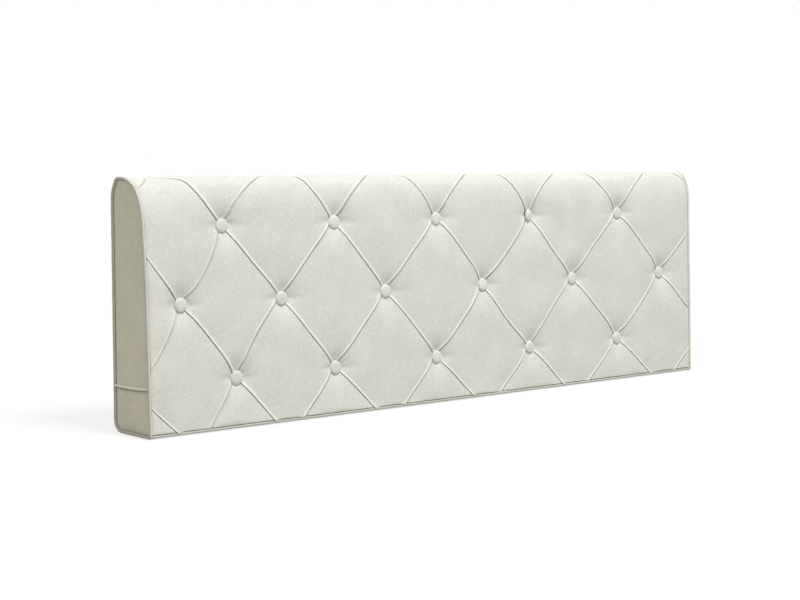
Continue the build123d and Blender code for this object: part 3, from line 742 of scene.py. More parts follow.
def scuff_group() -> bpy.types.NodeTree:
    """Group for handled hard parts: faint streaks, smudges and rubbed spots.

    Returns:
        The group, with Color, Roughness and Height outputs.
    """
    desk, source, sink = new_group(
        "fine_scuffs",
        {"Shade": (1.0, 1.0, 1.0), "Scale": 400.0, "Smooth": 0.25, "Rough": 0.45},
        ("Roughness", "Height"))
    smudges = desk.noise(source["Vector"], source["Scale"], 4.0, 0.6)
    streaks = desk.noise(source["Vector"], 2600.0, 2.0)
    rubbed = desk.spread(smudges, 0.52, 0.7, 0.0, 0.6)
    mixed = desk.spread(desk.maths("ADD", smudges, streaks), 0.7, 1.3, 0.0, 1.0)
    span = desk.maths("SUBTRACT", source["Rough"], source["Smooth"])
    desk.feed(sink, {
        "Color": desk.blend(rubbed, source["Colour"], source["Shade"]),
        "Roughness": desk.maths("ADD", source["Smooth"], desk.maths("MULTIPLY", mixed, span)),
        "Height": streaks})
    return desk.tree


@dataclass(frozen=True)
class Finish:
    """Finish that reads one shared node group on object coordinates.

    Args:
        name: Name of the finish.
        colour: Its main colour.
        shade: Its second colour, where the group's pattern is low, open or rubbed.
        bump: Height of the pattern, in metres.
    """

    name: str
    colour: Colour
    shade: Colour
    bump: float

    GROUP = ""
    BUMP_STRENGTH = 0.5

    def pattern(self, desk: NodeDesk) -> dict[str, object]:
        """What the group's further inputs get, with nodes on this desk where needed."""
        return {}

    def surface(self) -> dict[str, object]:
        """Values of the surface shader's own inputs."""
        return {}

    def make(self, groups: dict[str, bpy.types.NodeTree]) -> bpy.types.Material:
        """Build the material.

        Args:
            groups: Shared node groups by name.

        Returns:
            The material.
        """
        material = bpy.data.materials.new(self.name)
        material.use_nodes = True
        desk = NodeDesk(material.node_tree)
        shader = material.node_tree.nodes["Principled BSDF"]
        look = desk.add("Group", {
            "Vector": desk.add("TexCoord")["Object"], "Colour": self.colour, "Shade": self.shade,
            **self.pattern(desk)}, node_tree=groups[self.GROUP])
        bump = desk.add("Bump", {
            "Strength": self.BUMP_STRENGTH, "Distance": self.bump, "Height": look["Height"]})
        desk.feed(shader, {
            "Base Color": look["Color"], "Normal": bump["Normal"], **self.surface()})
        if "Roughness" in look:
            desk.feed(shader, {"Roughness": look["Roughness"]})
        return material


@dataclass(frozen=True)
class VelvetFinish(Finish):
    """Short-pile velvet. Its shade is its colour where the pile is brushed the other way.

    Args:
        bloom: Colour of the pile's tips, and of the painted highlight on fold lips.
        sheen: Weight of the soft shine at grazing angles.
        patch_scale: Scale of the brushed patches.
        mottle_scale: Scale of the fine mottling.
        folded: Whether the finish reads the mesh layer of painted highlight and painted shade.
    """

    colour: Colour = (0.732, 0.748, 0.715)
    shade: Colour = (0.618, 0.628, 0.590)
    bump: float = 0.0005
    bloom: Colour = (0.90, 0.91, 0.88)
    sheen: float = 0.11
    patch_scale: float = 16.0
    mottle_scale: float = 225.0
    folded: bool = True

    GROUP = "pile"

    def pattern(self, desk: NodeDesk) -> dict[str, object]:
        """What the pile's group gets.

        Args:
            desk: Desk on the material's tree.

        Returns:
            Sockets and values by the name of the input.
        """
        found = {
            "Bloom": self.bloom, "Patch Scale": self.patch_scale,
            "Mottle Scale": self.mottle_scale}
        if self.folded:
            # Painted highlight and painted shade, kept on the mesh.
            found["Painted Light"] = desk.add("Attribute", attribute_name=PAINTED_LIGHT_LAYER)["Fac"]
        return found

    def surface(self) -> dict[str, object]:
        """Shine of the pile."""
        return {
            "Specular IOR Level": 0.22, "Sheen Weight": self.sheen, "Sheen Roughness": 0.55,
            "Sheen Tint": (1.0, 0.99, 0.95)}


@dataclass(frozen=True)
class WovenFinish(Finish):
    """Plain woven cloth, tape or twine. Its shade lies between the threads.

    Args:
        threads: Threads in a metre.
    """

    bump: float = 0.0002
    threads: float = 900.0

    GROUP = "weave"
    BUMP_STRENGTH = 0.6

    def pattern(self, desk: NodeDesk) -> dict[str, object]:
        """What the weave's group gets."""
        return {"Threads": self.threads}

    def surface(self) -> dict[str, object]:
        """Dull shine of cloth."""
        return {"Roughness": 0.85, "Sheen Weight": 0.1}


@dataclass(frozen=True)
class FoamFinish(Finish):
    """Open-cell foam. Its shade lies inside the cells.

    Args:
        cells: Cells in a metre.
    """

    bump: float = 0.0006
    cells: float = 700.0

    GROUP = "cells"
    BUMP_STRENGTH = 0.7

    def pattern(self, desk: NodeDesk) -> dict[str, object]:
        """What the cells' group gets."""
        return {"Cells": self.cells}

    def surface(self) -> dict[str, object]:
        """Dull surface of foam."""
        return {"Roughness": 0.95}


@dataclass(frozen=True)
class HardFinish(Finish):
    """Metal or plastic with faint wear. Its shade is its colour where it is rubbed.

    Args:
        metallic: Share of metal.
        smooth: Lowest roughness.
        rough: Highest roughness.
    """

    bump: float = 0.0001
    metallic: float = 1.0
    smooth: float = 0.24
    rough: float = 0.42

    GROUP = "scuffs"
    BUMP_STRENGTH = 0.15

    def pattern(self, desk: NodeDesk) -> dict[str, object]:
        """What the scuffs' group gets."""
        return {"Smooth": self.smooth, "Rough": self.rough}

    def surface(self) -> dict[str, object]:
        """Share of metal in the surface."""
        return {"Metallic": self.metallic}


FINISHES = (
    VelvetFinish("velvet_front"),
    # The ends' velvet is the front's cloth tinted warmer and yellower, a painted tint for the warm
    # shade on the ends.
    VelvetFinish("velvet_ends", (0.765, 0.750, 0.665), (0.650, 0.633, 0.545)),
    VelvetFinish("velvet_back", patch_scale=11.0, folded=False),
    VelvetFinish("velvet_piping", bump=0.0006, patch_scale=60.0, mottle_scale=260.0),
    # The buttons' velvet is the front's cloth made slightly paler, painted light for the lit domes.
    VelvetFinish(
        "velvet_buttons", (0.755, 0.770, 0.738), bump=0.0004, patch_scale=50.0,
        mottle_scale=300.0, folded=False),
    FoamFinish("quilting_foam", (0.80, 0.76, 0.60), (0.52, 0.47, 0.32)),
    FoamFinish("core_foam", (0.78, 0.70, 0.45), (0.50, 0.42, 0.24), cells=520.0),
    WovenFinish("backing_cloth", (0.62, 0.62, 0.60), (0.38, 0.38, 0.37)),
    WovenFinish("liner_cloth", (0.74, 0.74, 0.73), (0.50, 0.50, 0.50), threads=1400.0),
    WovenFinish("zipper_tape", (0.70, 0.69, 0.62), (0.44, 0.43, 0.38), threads=1300.0),
    WovenFinish("twine", (0.66, 0.60, 0.46), (0.36, 0.31, 0.22), threads=1600.0),
    HardFinish("button_metal", (0.62, 0.62, 0.61), (0.75, 0.75, 0.74)),
    HardFinish("button_wire", (0.55, 0.54, 0.52), (0.70, 0.69, 0.67)),
    HardFinish("button_plastic", (0.60, 0.60, 0.58), (0.68, 0.68, 0.66), metallic=0.0, smooth=0.35),
    HardFinish("zipper_chain", (0.68, 0.67, 0.61), (0.76, 0.75, 0.70), metallic=0.0, smooth=0.30),
    HardFinish("zipper_metal", (0.60, 0.59, 0.57), (0.78, 0.77, 0.74)),
)


def build_finishes() -> Materials:
    """Build the shared groups and every finish once.

    Returns:
        Materials by the name of their slot.
    """
    groups = {
        "pile": pile_group(), "weave": weave_group(), "cells": cell_group(),
        "scuffs": scuff_group(),
    }
    return {finish.name: finish.make(groups) for finish in FINISHES}


# ---------------------------------------------------------------------------------------------
# Tufting
# ---------------------------------------------------------------------------------------------


@dataclass(frozen=True)
class LatticePlace:
    """Where points lie in the tufting lattice, each field with one value for each point.

    Args:
        x: Place along the cushion.
        run: Run along the side outline.
        up_a: Distance from the falling pleat below, whose lip is here.
        down_a: Distance from the falling pleat above.
        up_b: Distance from the rising pleat below, whose lip is here.
        down_b: Distance from the rising pleat above.
        normal_a: Direction away from the falling pleats, up the cushion.
        normal_b: Direction away from the rising pleats, up the cushion.
    """

    x: np.ndarray
    run: np.ndarray
    up_a: np.ndarray
    down_a: np.ndarray
    up_b: np.ndarray
    down_b: np.ndarray
    normal_a: tuple[np.ndarray, np.ndarray]
    normal_b: tuple[np.ndarray, np.ndarray]


@dataclass(frozen=True)
class TuftLattice:
    """Diamond lattice of buttons and pleats, placed one by one as on the real cushion.

    Falling pleats leave a button up to the left, rising pleats up to the right.

    Args:
        pitch: Usual distance between neighbouring buttons of a row.
        row_pitch: Run from one row of buttons to the next.
        bottom_run: Run of the bottom row.
        top: Places of the top row's buttons, as shares of the pitch.
        middle: Places of the middle row's buttons.
        bottom: Places of the bottom row's buttons.
        nape: Places over the nape where the top pleats meet.
        foot: Places below the foot where the bottom pleats would meet.
        foot_pitch: Run from the bottom row down to there.
        left: Places where the pleats would meet beyond the left end, bottom and top row.
        right: Places where the pleats would meet beyond the right end.
        first_columns: First column that an even row lists, and an odd one.
        way_shares: Shares of the way from the top row to the nape.
        fall_ways: How far the falling pleats have gone sideways there.
        rise_ways: How far the rising pleats have gone sideways there.
        way_blur: Steps over which those ways are averaged.
        bow_columns: Columns of the top row whose pleats have a bow.
        fall_bows: How much farther each button's falling pleat bows to the left.
        rise_bows: How much farther each button's rising pleat bows to the right.
        bow_end: Share of the way to the nape at which those bows end.
        lift: How far the pleats meet above a button's middle.
        shift: How far they meet to its right.
        fall_lifts: How far the falling pleats bow upwards, lower and upper row.
        fall_firsts: Columns of the first of them.
        rise_lifts: How far the rising pleats bow upwards, lower and upper row.
        rise_firsts: Columns of the first of them.
    """

    pitch: float = 285.0
    row_pitch: float = 152.0
    bottom_run: float = 92.0
    top: tuple[float, ...] = (-2.154, -1.168, -0.168, 0.839, 1.898)
    middle: tuple[float, ...] = (-2.509, -1.660, -0.691, 0.312, 1.330, 2.428)
    bottom: tuple[float, ...] = (-2.067, -1.186, -0.193, 0.821, 1.870)
    nape: tuple[float, ...] = (-2.620, -1.660, -0.691, 0.312, 1.330, 2.428)
    foot: tuple[float, ...] = (-2.415, -1.630, -0.691, 0.312, 1.330, 2.428)
    foot_pitch: float = 138.0
    left: tuple[float, float] = (-2.950, -2.955)
    right: tuple[float, float] = (2.990, 3.035)
    first_columns: tuple[int, int] = (-6, -5)
    way_shares: tuple[float, ...] = (0, 0.05, 0.1, 0.2, 0.3, 0.4, 0.5, 0.6, 0.7, 0.85, 1.0)
    fall_ways: tuple[float, ...] = (
        0, 0.055, 0.105, 0.198, 0.288, 0.384, 0.474, 0.555, 0.65, 0.81, 1.0)
    rise_ways: tuple[float, ...] = (
        0, 0.055, 0.10, 0.156, 0.262, 0.399, 0.574, 0.778, 0.875, 0.945, 1.0)
    way_blur: tuple[float, ...] = (-0.03, 0.0, 0.03)
    bow_columns: tuple[int, ...] = tuple(range(-8, 10, 2))
    fall_bows: tuple[float, ...] = (0, 0, 8.5, 3.6, -4.4, -7.5, -1.5, 0, 0)
    rise_bows: tuple[float, ...] = (0, -8.0, -2.5, 2.5, -0.5, -13.0, 3.0, 0, 0)
    bow_end: float = 0.75
    lift: float = 4.8
    shift: float = -3.0
    fall_lifts: tuple[tuple[float, ...], ...] = (
        (4.5, -3.0, -2.5, -15.0, -1.0), (-6.0, -4.0, 4.0, -10.0, 2.0))
    fall_firsts: tuple[int, int] = (-4, -3)
    rise_lifts: tuple[tuple[float, ...], ...] = (
        (-35.0, 20.0, 1.0, -6.0, 12.0, -1.5), (-25.0, 7.0, 2.0, -7.0, 7.0))
    rise_firsts: tuple[int, int] = (-6, -5)

    def node_x(self, row: int, column: int) -> float:
        """Place along the cushion of one crossing of the pleats.

        Args:
            row: Row of the lattice, zero at the bottom buttons.
            column: Column of the lattice, zero in the middle.

        Returns:
            Its X in millimetres.
        """
        if row % 2:
            known = self.nape if row > 2 else self.foot if row < 0 else self.middle
        else:
            high = int(row > 0)
            known = (self.left[high], *(self.bottom, self.top)[high], self.right[high])
        index = (column - self.first_columns[row % 2]) // 2
        nearest = min(max(index, 0), len(known) - 1)
        return (known[nearest] + (index - nearest)) * self.pitch

    def buttons(self) -> list[tuple[str, float, float]]:
        """Name, place along the cushion and run of every button.

        Returns:
            One row for each button, from the bottom left to the top right.
        """
        rows = (("bottom", self.bottom), ("middle", self.middle), ("top", self.top))
        return [
            (f"{name}_{number}", share * self.pitch, self.bottom_run + self.row_pitch * row)
            for row, (name, shares) in enumerate(rows) for number, share in enumerate(shares, 1)]

    def lifted(self, row: int, column: int, falling: bool) -> float:
        """How far the pleat that leaves a crossing upwards bows upwards.

        Args:
            row: Row of the crossing.
            column: Column of the crossing.
            falling: Whether the pleat goes up to the left, not to the right.

        Returns:
            Its bow in millimetres.
        """
        if row not in (0, 1):
            return 0.0
        lifts = (self.fall_lifts if falling else self.rise_lifts)[row]
        first = (self.fall_firsts if falling else self.rise_firsts)[row]
        index = (column - first) // 2
        return lifts[index] if 0 <= index < len(lifts) else 0.0

    def ways(self, share: np.ndarray, table: Sequence[float]) -> np.ndarray:
        """How far pleats have gone sideways at these shares of the way to the nape."""
        return sum(
            np.interp(np.clip(share + step, 0.0, 1.0), self.way_shares, table)
            / len(self.way_blur) for step in self.way_blur)

    def bent(self, x: np.ndarray, share: np.ndarray) -> np.ndarray:
        """Move points above the top row so that its pleats leave the buttons steeply.

        Args:
            x: Places along the cushion, with straight pleats.
            share: Share of the way from the top row to the nape.

        Returns:
            Places with bent pleats.
        """
        inside = (share > 1e-6) & (share < 1.0)
        part = np.where(inside, share, 0.5)
        falls, rises = self.ways(part, self.fall_ways), self.ways(part, self.rise_ways)
        bow = np.sin(math.pi * np.clip(part / self.bow_end, 0.0, 1.0))
        next_bows = (*self.fall_bows[1:], self.fall_bows[-1])
        found = x.copy()
        for column, fall_bow, rise_bow, next_bow in zip(
            self.bow_columns, self.fall_bows, self.rise_bows, next_bows
        ):
            spot, after = self.node_x(2, column), self.node_x(2, column + 2)
            left, right = self.node_x(3, column - 1) - spot, self.node_x(3, column + 1) - spot
            next_left = self.node_x(3, column + 1) - after
            falling = left * falls - fall_bow * bow
            rising = right * rises + rise_bow * bow
            wedge = inside & (x >= spot + left * part) & (x < spot + right * part)
            gone = np.where(x < spot, falling / left, rising / right)
            found = np.where(wedge, spot + (x - spot) * gone / part, found)
            start, end = spot + right * part, after + next_left * part
            pillow = inside & (x >= start) & (x < end)
            along = (x - start) / np.maximum(end - start, 1e-6)
            first, last = spot + rising, after + (next_left * falls - next_bow * bow)
            found = np.where(pillow, first + along * (last - first), found)
        return found

    def place(self, a: np.ndarray, b: np.ndarray) -> LatticePlace:
        """Find points by their lattice coordinates.

        Args:
            a: Count of falling pleats below each point.
            b: Count of rising pleats below each point.

        Returns:
            Their places and their distances from the pleats around them.
        """
        low = int(math.floor(min(a.min(), b.min()))) - 1
        high = int(math.ceil(max(a.max(), b.max()))) + 2
        table, falls, rises = (
            np.array([[value(i + j, i - j) for j in range(low, high + 1)]
                      for i in range(low, high + 1)])
            for value in (
                self.node_x, lambda row, column: self.lifted(row, column, True),
                lambda row, column: self.lifted(row, column, False)))
        i = np.floor(a + 1e-9).astype(int)
        j = np.floor(b + 1e-9).astype(int)
        u, v = a - i, b - j
        x00, x10, x01, x11 = (
            table[i - low + step_a, j - low + step_b]
            for step_a, step_b in ((0, 0), (1, 0), (0, 1), (1, 1)))
        x = x00 * (1 - u) * (1 - v) + x10 * u * (1 - v) + x01 * (1 - u) * v + x11 * u * v
        bow = np.sin(math.pi * v) * (
            falls[i - low, j - low] * (1 - u) + falls[i - low + 1, j - low] * u)
        bow += np.sin(math.pi * u) * (
            rises[i - low, j - low] * (1 - v) + rises[i - low, j - low + 1] * v)
        along_a = (x10 - x00) * (1 - v) + (x11 - x01) * v
        along_b = (x01 - x00) * (1 - u) + (x11 - x10) * u
        rise = self.row_pitch
        area = rise * (along_a - along_b)
        size_a, size_b = np.hypot(along_a, rise), np.hypot(along_b, rise)
        return LatticePlace(
            x=self.bent(x, a + b - 2.0) + self.shift,
            run=(self.bottom_run + self.lift + rise * np.maximum(a + b, 0.0)
                 + self.foot_pitch * np.minimum(a + b, 0.0) + bow),
            up_a=u * area / size_b, down_a=(1 - u) * area / size_b,
            up_b=v * area / size_a, down_b=(1 - v) * area / size_a,
            normal_a=(rise / size_b, -along_b / size_b),
            normal_b=(-rise / size_a, along_a / size_a),
        )


@dataclass(frozen=True)
class TuftRelief:
    """How far the front panel is drawn in, and how its pleats fold.

    Args:
        lattice: Lattice of the buttons.
        half_length: Half the length of the panel.
        last_run: Run of the back seam.
        seat_radius: Radius of the flat seat under a button.
        seat_depth: Depth of that seat.
        seat_rim: Distances from a button between which the seat ends.
        dimple_depth: Depth of the round dimple by itself.
        dimple_reach: How far the dimple reaches beyond the seat.
        dimple_power: How steeply its depth fades.
        throat_depth: Extra depth right beside the button, where the cloth dives under it.
        throat_start: Distance from the button at which that starts to fade.
        throat_reach: How far it reaches from there.
        pleat_depth: Depth of the pleats midway between buttons.
        top_pleat_depth: Their depth over the top.
        pleat_reach: How far the pillows stay rounded beside a pleat.
        pleat_power: How roundly the pillows fall to the pleats.
        top_runs: Runs between which the pleats turn shallow over the top.
        end_runs: Runs between which they end behind the top.
        nape_runs: Runs between which the cloth dips where the pleats meet behind the top.
        nape_dip: Depth and half width of those dips.
        dip_columns: Columns of those dips.
        seam_shares: Share of the relief left at the ends, at the foot and at the back seam.
        seam_reaches: Distances over which the relief grows from there.
        roll_depths: Depths to which the cloth is drawn in there.
        roll_widths: How far it rolls down beside them.
        roll_fade: Distances from the seams between which the relief takes over.
        full_waves: Wavelengths and height of the filling's unevenness.
        ripple_waves: Wavelengths and height of the cloth's ripples.
        full_depth: Mean depth of the unevenness.
        full_fade: Distances from a button between which it grows.
        fold_start: Distances from a button between which the folds start.
        fold_runs: Runs between which the folds end behind the top.
        fold_ends: Share of the folds left at the ends, and its reach.
        fold_waves: Wavelengths and height of the folds' unevenness.
        faint_end: Places between which the leftmost pleats differ from the others.
        fall_folds: Height of the falling folds, and what is added at the left.
        rise_folds: Height of the rising folds, and what is added at the left.
        lip_steps: Distances from a pleat, on its upper side, at which the lip is given.
        lip_shift: Where the cloth at those distances lies, measured from the pleat.
        lip_rise: How high it stands there.
        gap_steps: Distances from a pleat, on its lower side.
        gap_drop: How deep the cloth dives there.
        lip_painted_light: Distances and strengths of painted light on a lip: painted shade at its
            edge, painted highlight on its crest.
        fall_painted_shade: Distances and strengths of painted shade in the gap under a falling
            pleat.
        rise_painted_shade: Distances and strengths of painted shade in the gap under a rising
            pleat.
        lip_highlight_shares: How strong the painted highlight is on the lips of falling and of
            rising pleats.
        crease_reach: Largest distance from a button at which a crease is seen.
        side_creases: Direction, width and depth of the creases beside every button.
        top_creases: The same for those over the top row.
        top_row: Run above which a button counts to the top row.
        crease_count: Number of further creases round one button.
        crease_ways: Directions that those gather about.
        crease_turn: How far one may turn away from them.
        crease_widths: Least and largest width of one.
        crease_lengths: Least and largest length of one.
        crease_depths: Least and largest depth of one.
        steady_turn: How far a crease of a known direction may turn away from it.
        steady_lengths: Least and largest length of such a crease.
        steady_shares: Least and largest share of its depth that it gets.
        crease_start: Distances from the button between which a crease begins.
        crease_fade: Share of its length at which it starts to fade.
        crease_ridges: Place and width of the ridges beside it, in its widths, and their height.
        seed: Seed of the unevenness.
    """

    lattice: TuftLattice
    half_length: float
    last_run: float
    seat_radius: float = 12.5
    seat_depth: float = 18.2
    seat_rim: tuple[float, float] = (12.0, 14.8)
    dimple_depth: float = 13.4
    dimple_reach: float = 25.0
    dimple_power: float = 1.28
    throat_depth: float = 0.9
    throat_start: float = 14.2
    throat_reach: float = 2.4
    pleat_depth: float = 2.2
    top_pleat_depth: float = 2.0
    pleat_reach: float = 56.0
    pleat_power: float = 2.2
    top_runs: tuple[float, float] = (425.0, 500.0)
    end_runs: tuple[float, float] = (536.0, 552.0)
    nape_runs: tuple[float, float] = (520.0, 548.0)
    nape_dip: tuple[float, float] = (3.6, 15.0)
    dip_columns: tuple[int, ...] = tuple(range(-7, 8, 2))
    seam_shares: tuple[float, ...] = (0.40, 0.45, 0.0)
    seam_reaches: tuple[float, ...] = (26.0, 22.0, 60.0)
    roll_depths: tuple[float, ...] = (3.0, 1.4, 2.0)
    roll_widths: tuple[float, ...] = (4.5, 5.0, 4.0)
    roll_fade: tuple[float, float] = (4.0, 16.0)
    full_waves: tuple[tuple[float, float], float] = ((80.0, 170.0), 0.8)
    ripple_waves: tuple[tuple[float, float], float] = ((26.0, 48.0), 0.16)
    full_depth: float = 0.7
    full_fade: tuple[float, float] = (20.0, 60.0)
    fold_start: tuple[float, float] = (12.5, 17.0)
    fold_runs: tuple[float, float] = (530.0, 550.0)
    fold_ends: tuple[float, float] = (0.55, 14.0)
    fold_waves: tuple[tuple[float, float], float] = ((60.0, 140.0), 0.14)
    faint_end: tuple[float, float] = (-640.0, -500.0)
    fall_folds: tuple[float, float] = (1.22, 0.06)
    rise_folds: tuple[float, float] = (1.0, -0.45)
    lip_steps: tuple[float, ...] = (0, 0.5, 1.0, 1.6, 2.2, 2.9, 3.7, 4.6, 5.7, 7.0, 9.0, 12.0)
    lip_shift: tuple[float, ...] = (
        0, -0.4, -0.6, -0.7, -0.4, 0.3, 1.2, 2.1, 3.3, 5.0, 8.0, 11.8)
    lip_rise: tuple[float, ...] = (
        -1.6, -1.3, -0.8, 0.1, 1.0, 1.7, 1.75, 0.9, -0.1, -0.4, -0.2, 0)
    gap_steps: tuple[float, ...] = (0, 0.5, 1.0, 1.6, 2.2, 2.9, 3.7, 4.6, 5.7, 7.0)
    gap_drop: tuple[float, ...] = (1.6, 1.5, 1.3, 1.05, 0.8, 0.55, 0.33, 0.15, 0.05, 0.0)
    lip_painted_light: tuple[tuple[float, ...], ...] = (
        (0, 0.9, 1.5, 2.2, 4.6, 5.8), (-1, -0.6, 0.3, 1, 1, 0))
    fall_painted_shade: tuple[tuple[float, ...], ...] = ((0, 0.8, 1.6), (1.0, 0.9, 0))
    rise_painted_shade: tuple[tuple[float, ...], ...] = ((0, 3.2, 4.0, 5.2), (1.0, 1.0, 0.6, 0))
    lip_highlight_shares: tuple[float, float] = (1.0, 0.55)
    crease_reach: float = 95.0
    side_creases: tuple[tuple[float, ...], ...] = ((0.0, 5.0, 1.15), (180.0, 5.0, 1.15))
    top_creases: tuple[tuple[float, ...], ...] = ((86.0, 2.0, 0.75), (97.0, 2.4, 0.55))
    top_row: float = 300.0
    crease_count: int = 5
    crease_ways: tuple[float, ...] = (90.0, 90.0, 0.0, 180.0, -90.0)
    crease_turn: float = 26.0
    crease_widths: tuple[float, float] = (2.2, 3.6)
    crease_lengths: tuple[float, float] = (30.0, 72.0)
    crease_depths: tuple[float, float] = (0.25, 0.95)
    steady_turn: float = 3.0
    steady_lengths: tuple[float, float] = (62.0, 84.0)
    steady_shares: tuple[float, float] = (0.7, 1.1)
    crease_start: tuple[float, float] = (13.0, 20.0)
    crease_fade: float = 0.45
    crease_ridges: tuple[float, float, float] = (2.2, 1.4, 0.45)
    seed: int = 7

    def from_button(self, x: np.ndarray, run: np.ndarray) -> np.ndarray:
        """Distance over the surface of each point from the nearest button.

        Args:
            x: Places along the cushion.
            run: Runs along the side outline.

        Returns:
            The distances.
        """
        return np.minimum.reduce([
            np.hypot(x - button_x, run - button_run)
            for _, button_x, button_run in self.lattice.buttons()])

    def seam_gaps(self, x: np.ndarray, run: np.ndarray) -> tuple[np.ndarray, ...]:
        """Distance of each point from the nearer end, from the foot and from the back seam."""
        return self.half_length - np.abs(x), run, self.last_run - run

    def crease(
        self, maker: np.random.Generator, away: np.ndarray, angle: np.ndarray,
        kind: tuple[float, ...] | None,
    ) -> np.ndarray:
        """One small crease that runs out from a button.

        Args:
            maker: Source of its differences.
            away: Distances from the button.
            angle: Directions from it.
            kind: Direction, width and depth, or nothing for a chance crease.

        Returns:
            Extra depths.
        """
        middle = maker.choice(self.crease_ways)
        middle += maker.uniform(-self.crease_turn, self.crease_turn)
        width = maker.uniform(*self.crease_widths)
        reach = maker.uniform(*self.crease_lengths)
        deep = maker.uniform(*self.crease_depths)
        if kind is not None:
            middle, width, deep = kind
            middle += maker.uniform(-self.steady_turn, self.steady_turn)
            deep *= maker.uniform(*self.steady_shares)
            reach = maker.uniform(*self.steady_lengths)
        turn = np.angle(np.exp(1j * (angle - math.radians(middle))))
        side = away * np.sin(turn)
        envelope = smooth_step(away, *self.crease_start) * (
            1.0 - smooth_step(away, reach * self.crease_fade, reach))
        valley = np.exp(-((side / width) ** 2))
        off, wide, high = self.crease_ridges
        ridge = np.exp(-(((np.abs(side) - off * width) / (wide * width)) ** 2))
        front = np.abs(turn) < math.pi / 2
        return np.where(front, deep * envelope * (valley - high * ridge), 0.0)

    def creases(self, x: np.ndarray, run: np.ndarray) -> np.ndarray:
        """Small creases that run out from all buttons.

        Args:
            x: Places along the cushion.
            run: Runs along the side outline.

        Returns:
            Extra depths.
        """
        maker = np.random.default_rng(self.seed)
        total = np.zeros(np.shape(x))
        for _, button_x, button_run in self.lattice.buttons():
            across, up = x - button_x, run - button_run
            away = np.hypot(across, up)
            near = away < self.crease_reach
            angle = np.arctan2(up[near], across[near])
            kinds = (
                *self.side_creases, *(self.top_creases if button_run > self.top_row else ()),
                *(None,) * self.crease_count)
            for kind in kinds:
                total[near] += self.crease(maker, away[near], angle, kind)
        return total

    def depth(self, place: LatticePlace) -> np.ndarray:
        """Depth of the panel's relief without the folds.

        Args:
            place: Points in the lattice.

        Returns:
            Depths below the side outline.
        """
        away = self.from_button(place.x, place.run)
        low = self.pleat_depth + (self.top_pleat_depth - self.pleat_depth) * smooth_step(
            place.run, *self.top_runs)
        low = low * (1.0 - smooth_step(place.run, *self.end_runs))
        reach = np.maximum(away - self.seat_radius, 0.0) / self.dimple_reach
        dimple = self.dimple_depth * np.exp(-(reach ** self.dimple_power))
        throat = np.exp(-np.maximum(away - self.throat_start, 0.0) / self.throat_reach)
        squares = 0.0
        for up, down in ((place.up_a, place.down_a), (place.up_b, place.down_b)):
            beside = np.clip(np.minimum(up, down) / self.pleat_reach, 0.0, 1.0)
            squares = squares + (low * (1.0 - beside) ** self.pleat_power) ** 2
        deep = np.sqrt(squares + (dimple + self.throat_depth * throat) ** 2)
        nape = smooth_step(place.run, *self.nape_runs)
        for column in self.dip_columns:
            off = (place.x - self.lattice.node_x(3, column)) / self.nape_dip[1]
            deep = deep + self.nape_dip[0] * nape * np.exp(-(off ** 2))
        gaps = self.seam_gaps(place.x, place.run)
        share = 1.0
        for gap, least, grown in zip(gaps, self.seam_shares, self.seam_reaches):
            share = share * (least + (1.0 - least) * smooth_step(gap, 0.0, grown))
        deep = deep * share
        uneven = self.full_depth
        for order, (lengths, high) in enumerate((self.full_waves, self.ripple_waves), 1):
            uneven = uneven + high * soft_waves(place.x, place.run, lengths, self.seed + order)
        deep = deep + smooth_step(away, *self.full_fade) * uneven
        seat = 1.0 - smooth_step(away, *self.seat_rim)
        deep = deep + self.creases(place.x, place.run)
        deep = deep * (1.0 - seat) + self.seat_depth * seat
        roll = rolled_edges(gaps, self.roll_depths, self.roll_widths)
        edge = 1.0 - smooth_step(np.minimum.reduce(gaps), *self.roll_fade)
        return np.where(deep < roll, deep * (1.0 - edge) + roll * edge, deep)

    def folded(self, place: LatticePlace) -> tuple[np.ndarray, ...]:
        """Panel with its pleats folded so that each upper pillow laps over the one below.

        Args:
            place: Points in the lattice.

        Returns:
            X, run and depth of each point, and its painted light: a highlight on a lip or,
            negative, a shade in a gap.
        """
        away = self.from_button(place.x, place.run)
        x, run, deep = place.x.copy(), place.run.copy(), self.depth(place)
        least, grown = self.fold_ends
        lengths, high = self.fold_waves
        whole = smooth_step(away, *self.fold_start)
        whole = whole * (1.0 - smooth_step(run, *self.fold_runs))
        whole = whole * (
            least + (1.0 - least) * smooth_step(self.half_length - np.abs(x), 0.0, grown))
        whole = whole * (1.0 - high + high * soft_waves(x, run, lengths, self.seed + 3))
        tone = np.zeros_like(x)
        leftmost = 1.0 - smooth_step(x, *self.faint_end)
        falls = (place.up_a, place.down_a, place.normal_a, self.fall_painted_shade, self.fall_folds)
        rises = (place.up_b, place.down_b, place.normal_b, self.rise_painted_shade, self.rise_folds)
        for (up, down, normal, gap_painted_shade, share), pale in zip((falls, rises), self.lip_highlight_shares):
            amount = whole * (share[0] + share[1] * leftmost)
            on_lip, in_gap = up < self.lip_steps[-1], down < self.gap_steps[-1]
            shift = np.where(on_lip, np.interp(up, self.lip_steps, self.lip_shift) - up, 0.0)
            rise = np.where(on_lip, np.interp(up, self.lip_steps, self.lip_rise), 0.0)
            drop = np.where(in_gap, np.interp(down, self.gap_steps, self.gap_drop), 0.0)
            x += shift * normal[0] * amount
            run += shift * normal[1] * amount
            deep += (drop - rise) * amount
            # Painted light at the lip, and painted shade in the gap below it.
            lip = np.where(up < self.lip_painted_light[0][-1], np.interp(up, *self.lip_painted_light), 0.0)
            tone += amount * np.where(lip > 0, lip * pale, lip)
            tone -= amount * np.where(down < gap_painted_shade[0][-1], np.interp(down, *gap_painted_shade), 0.0)
        return x, run, deep, np.clip(tone, -1.0, 1.0)


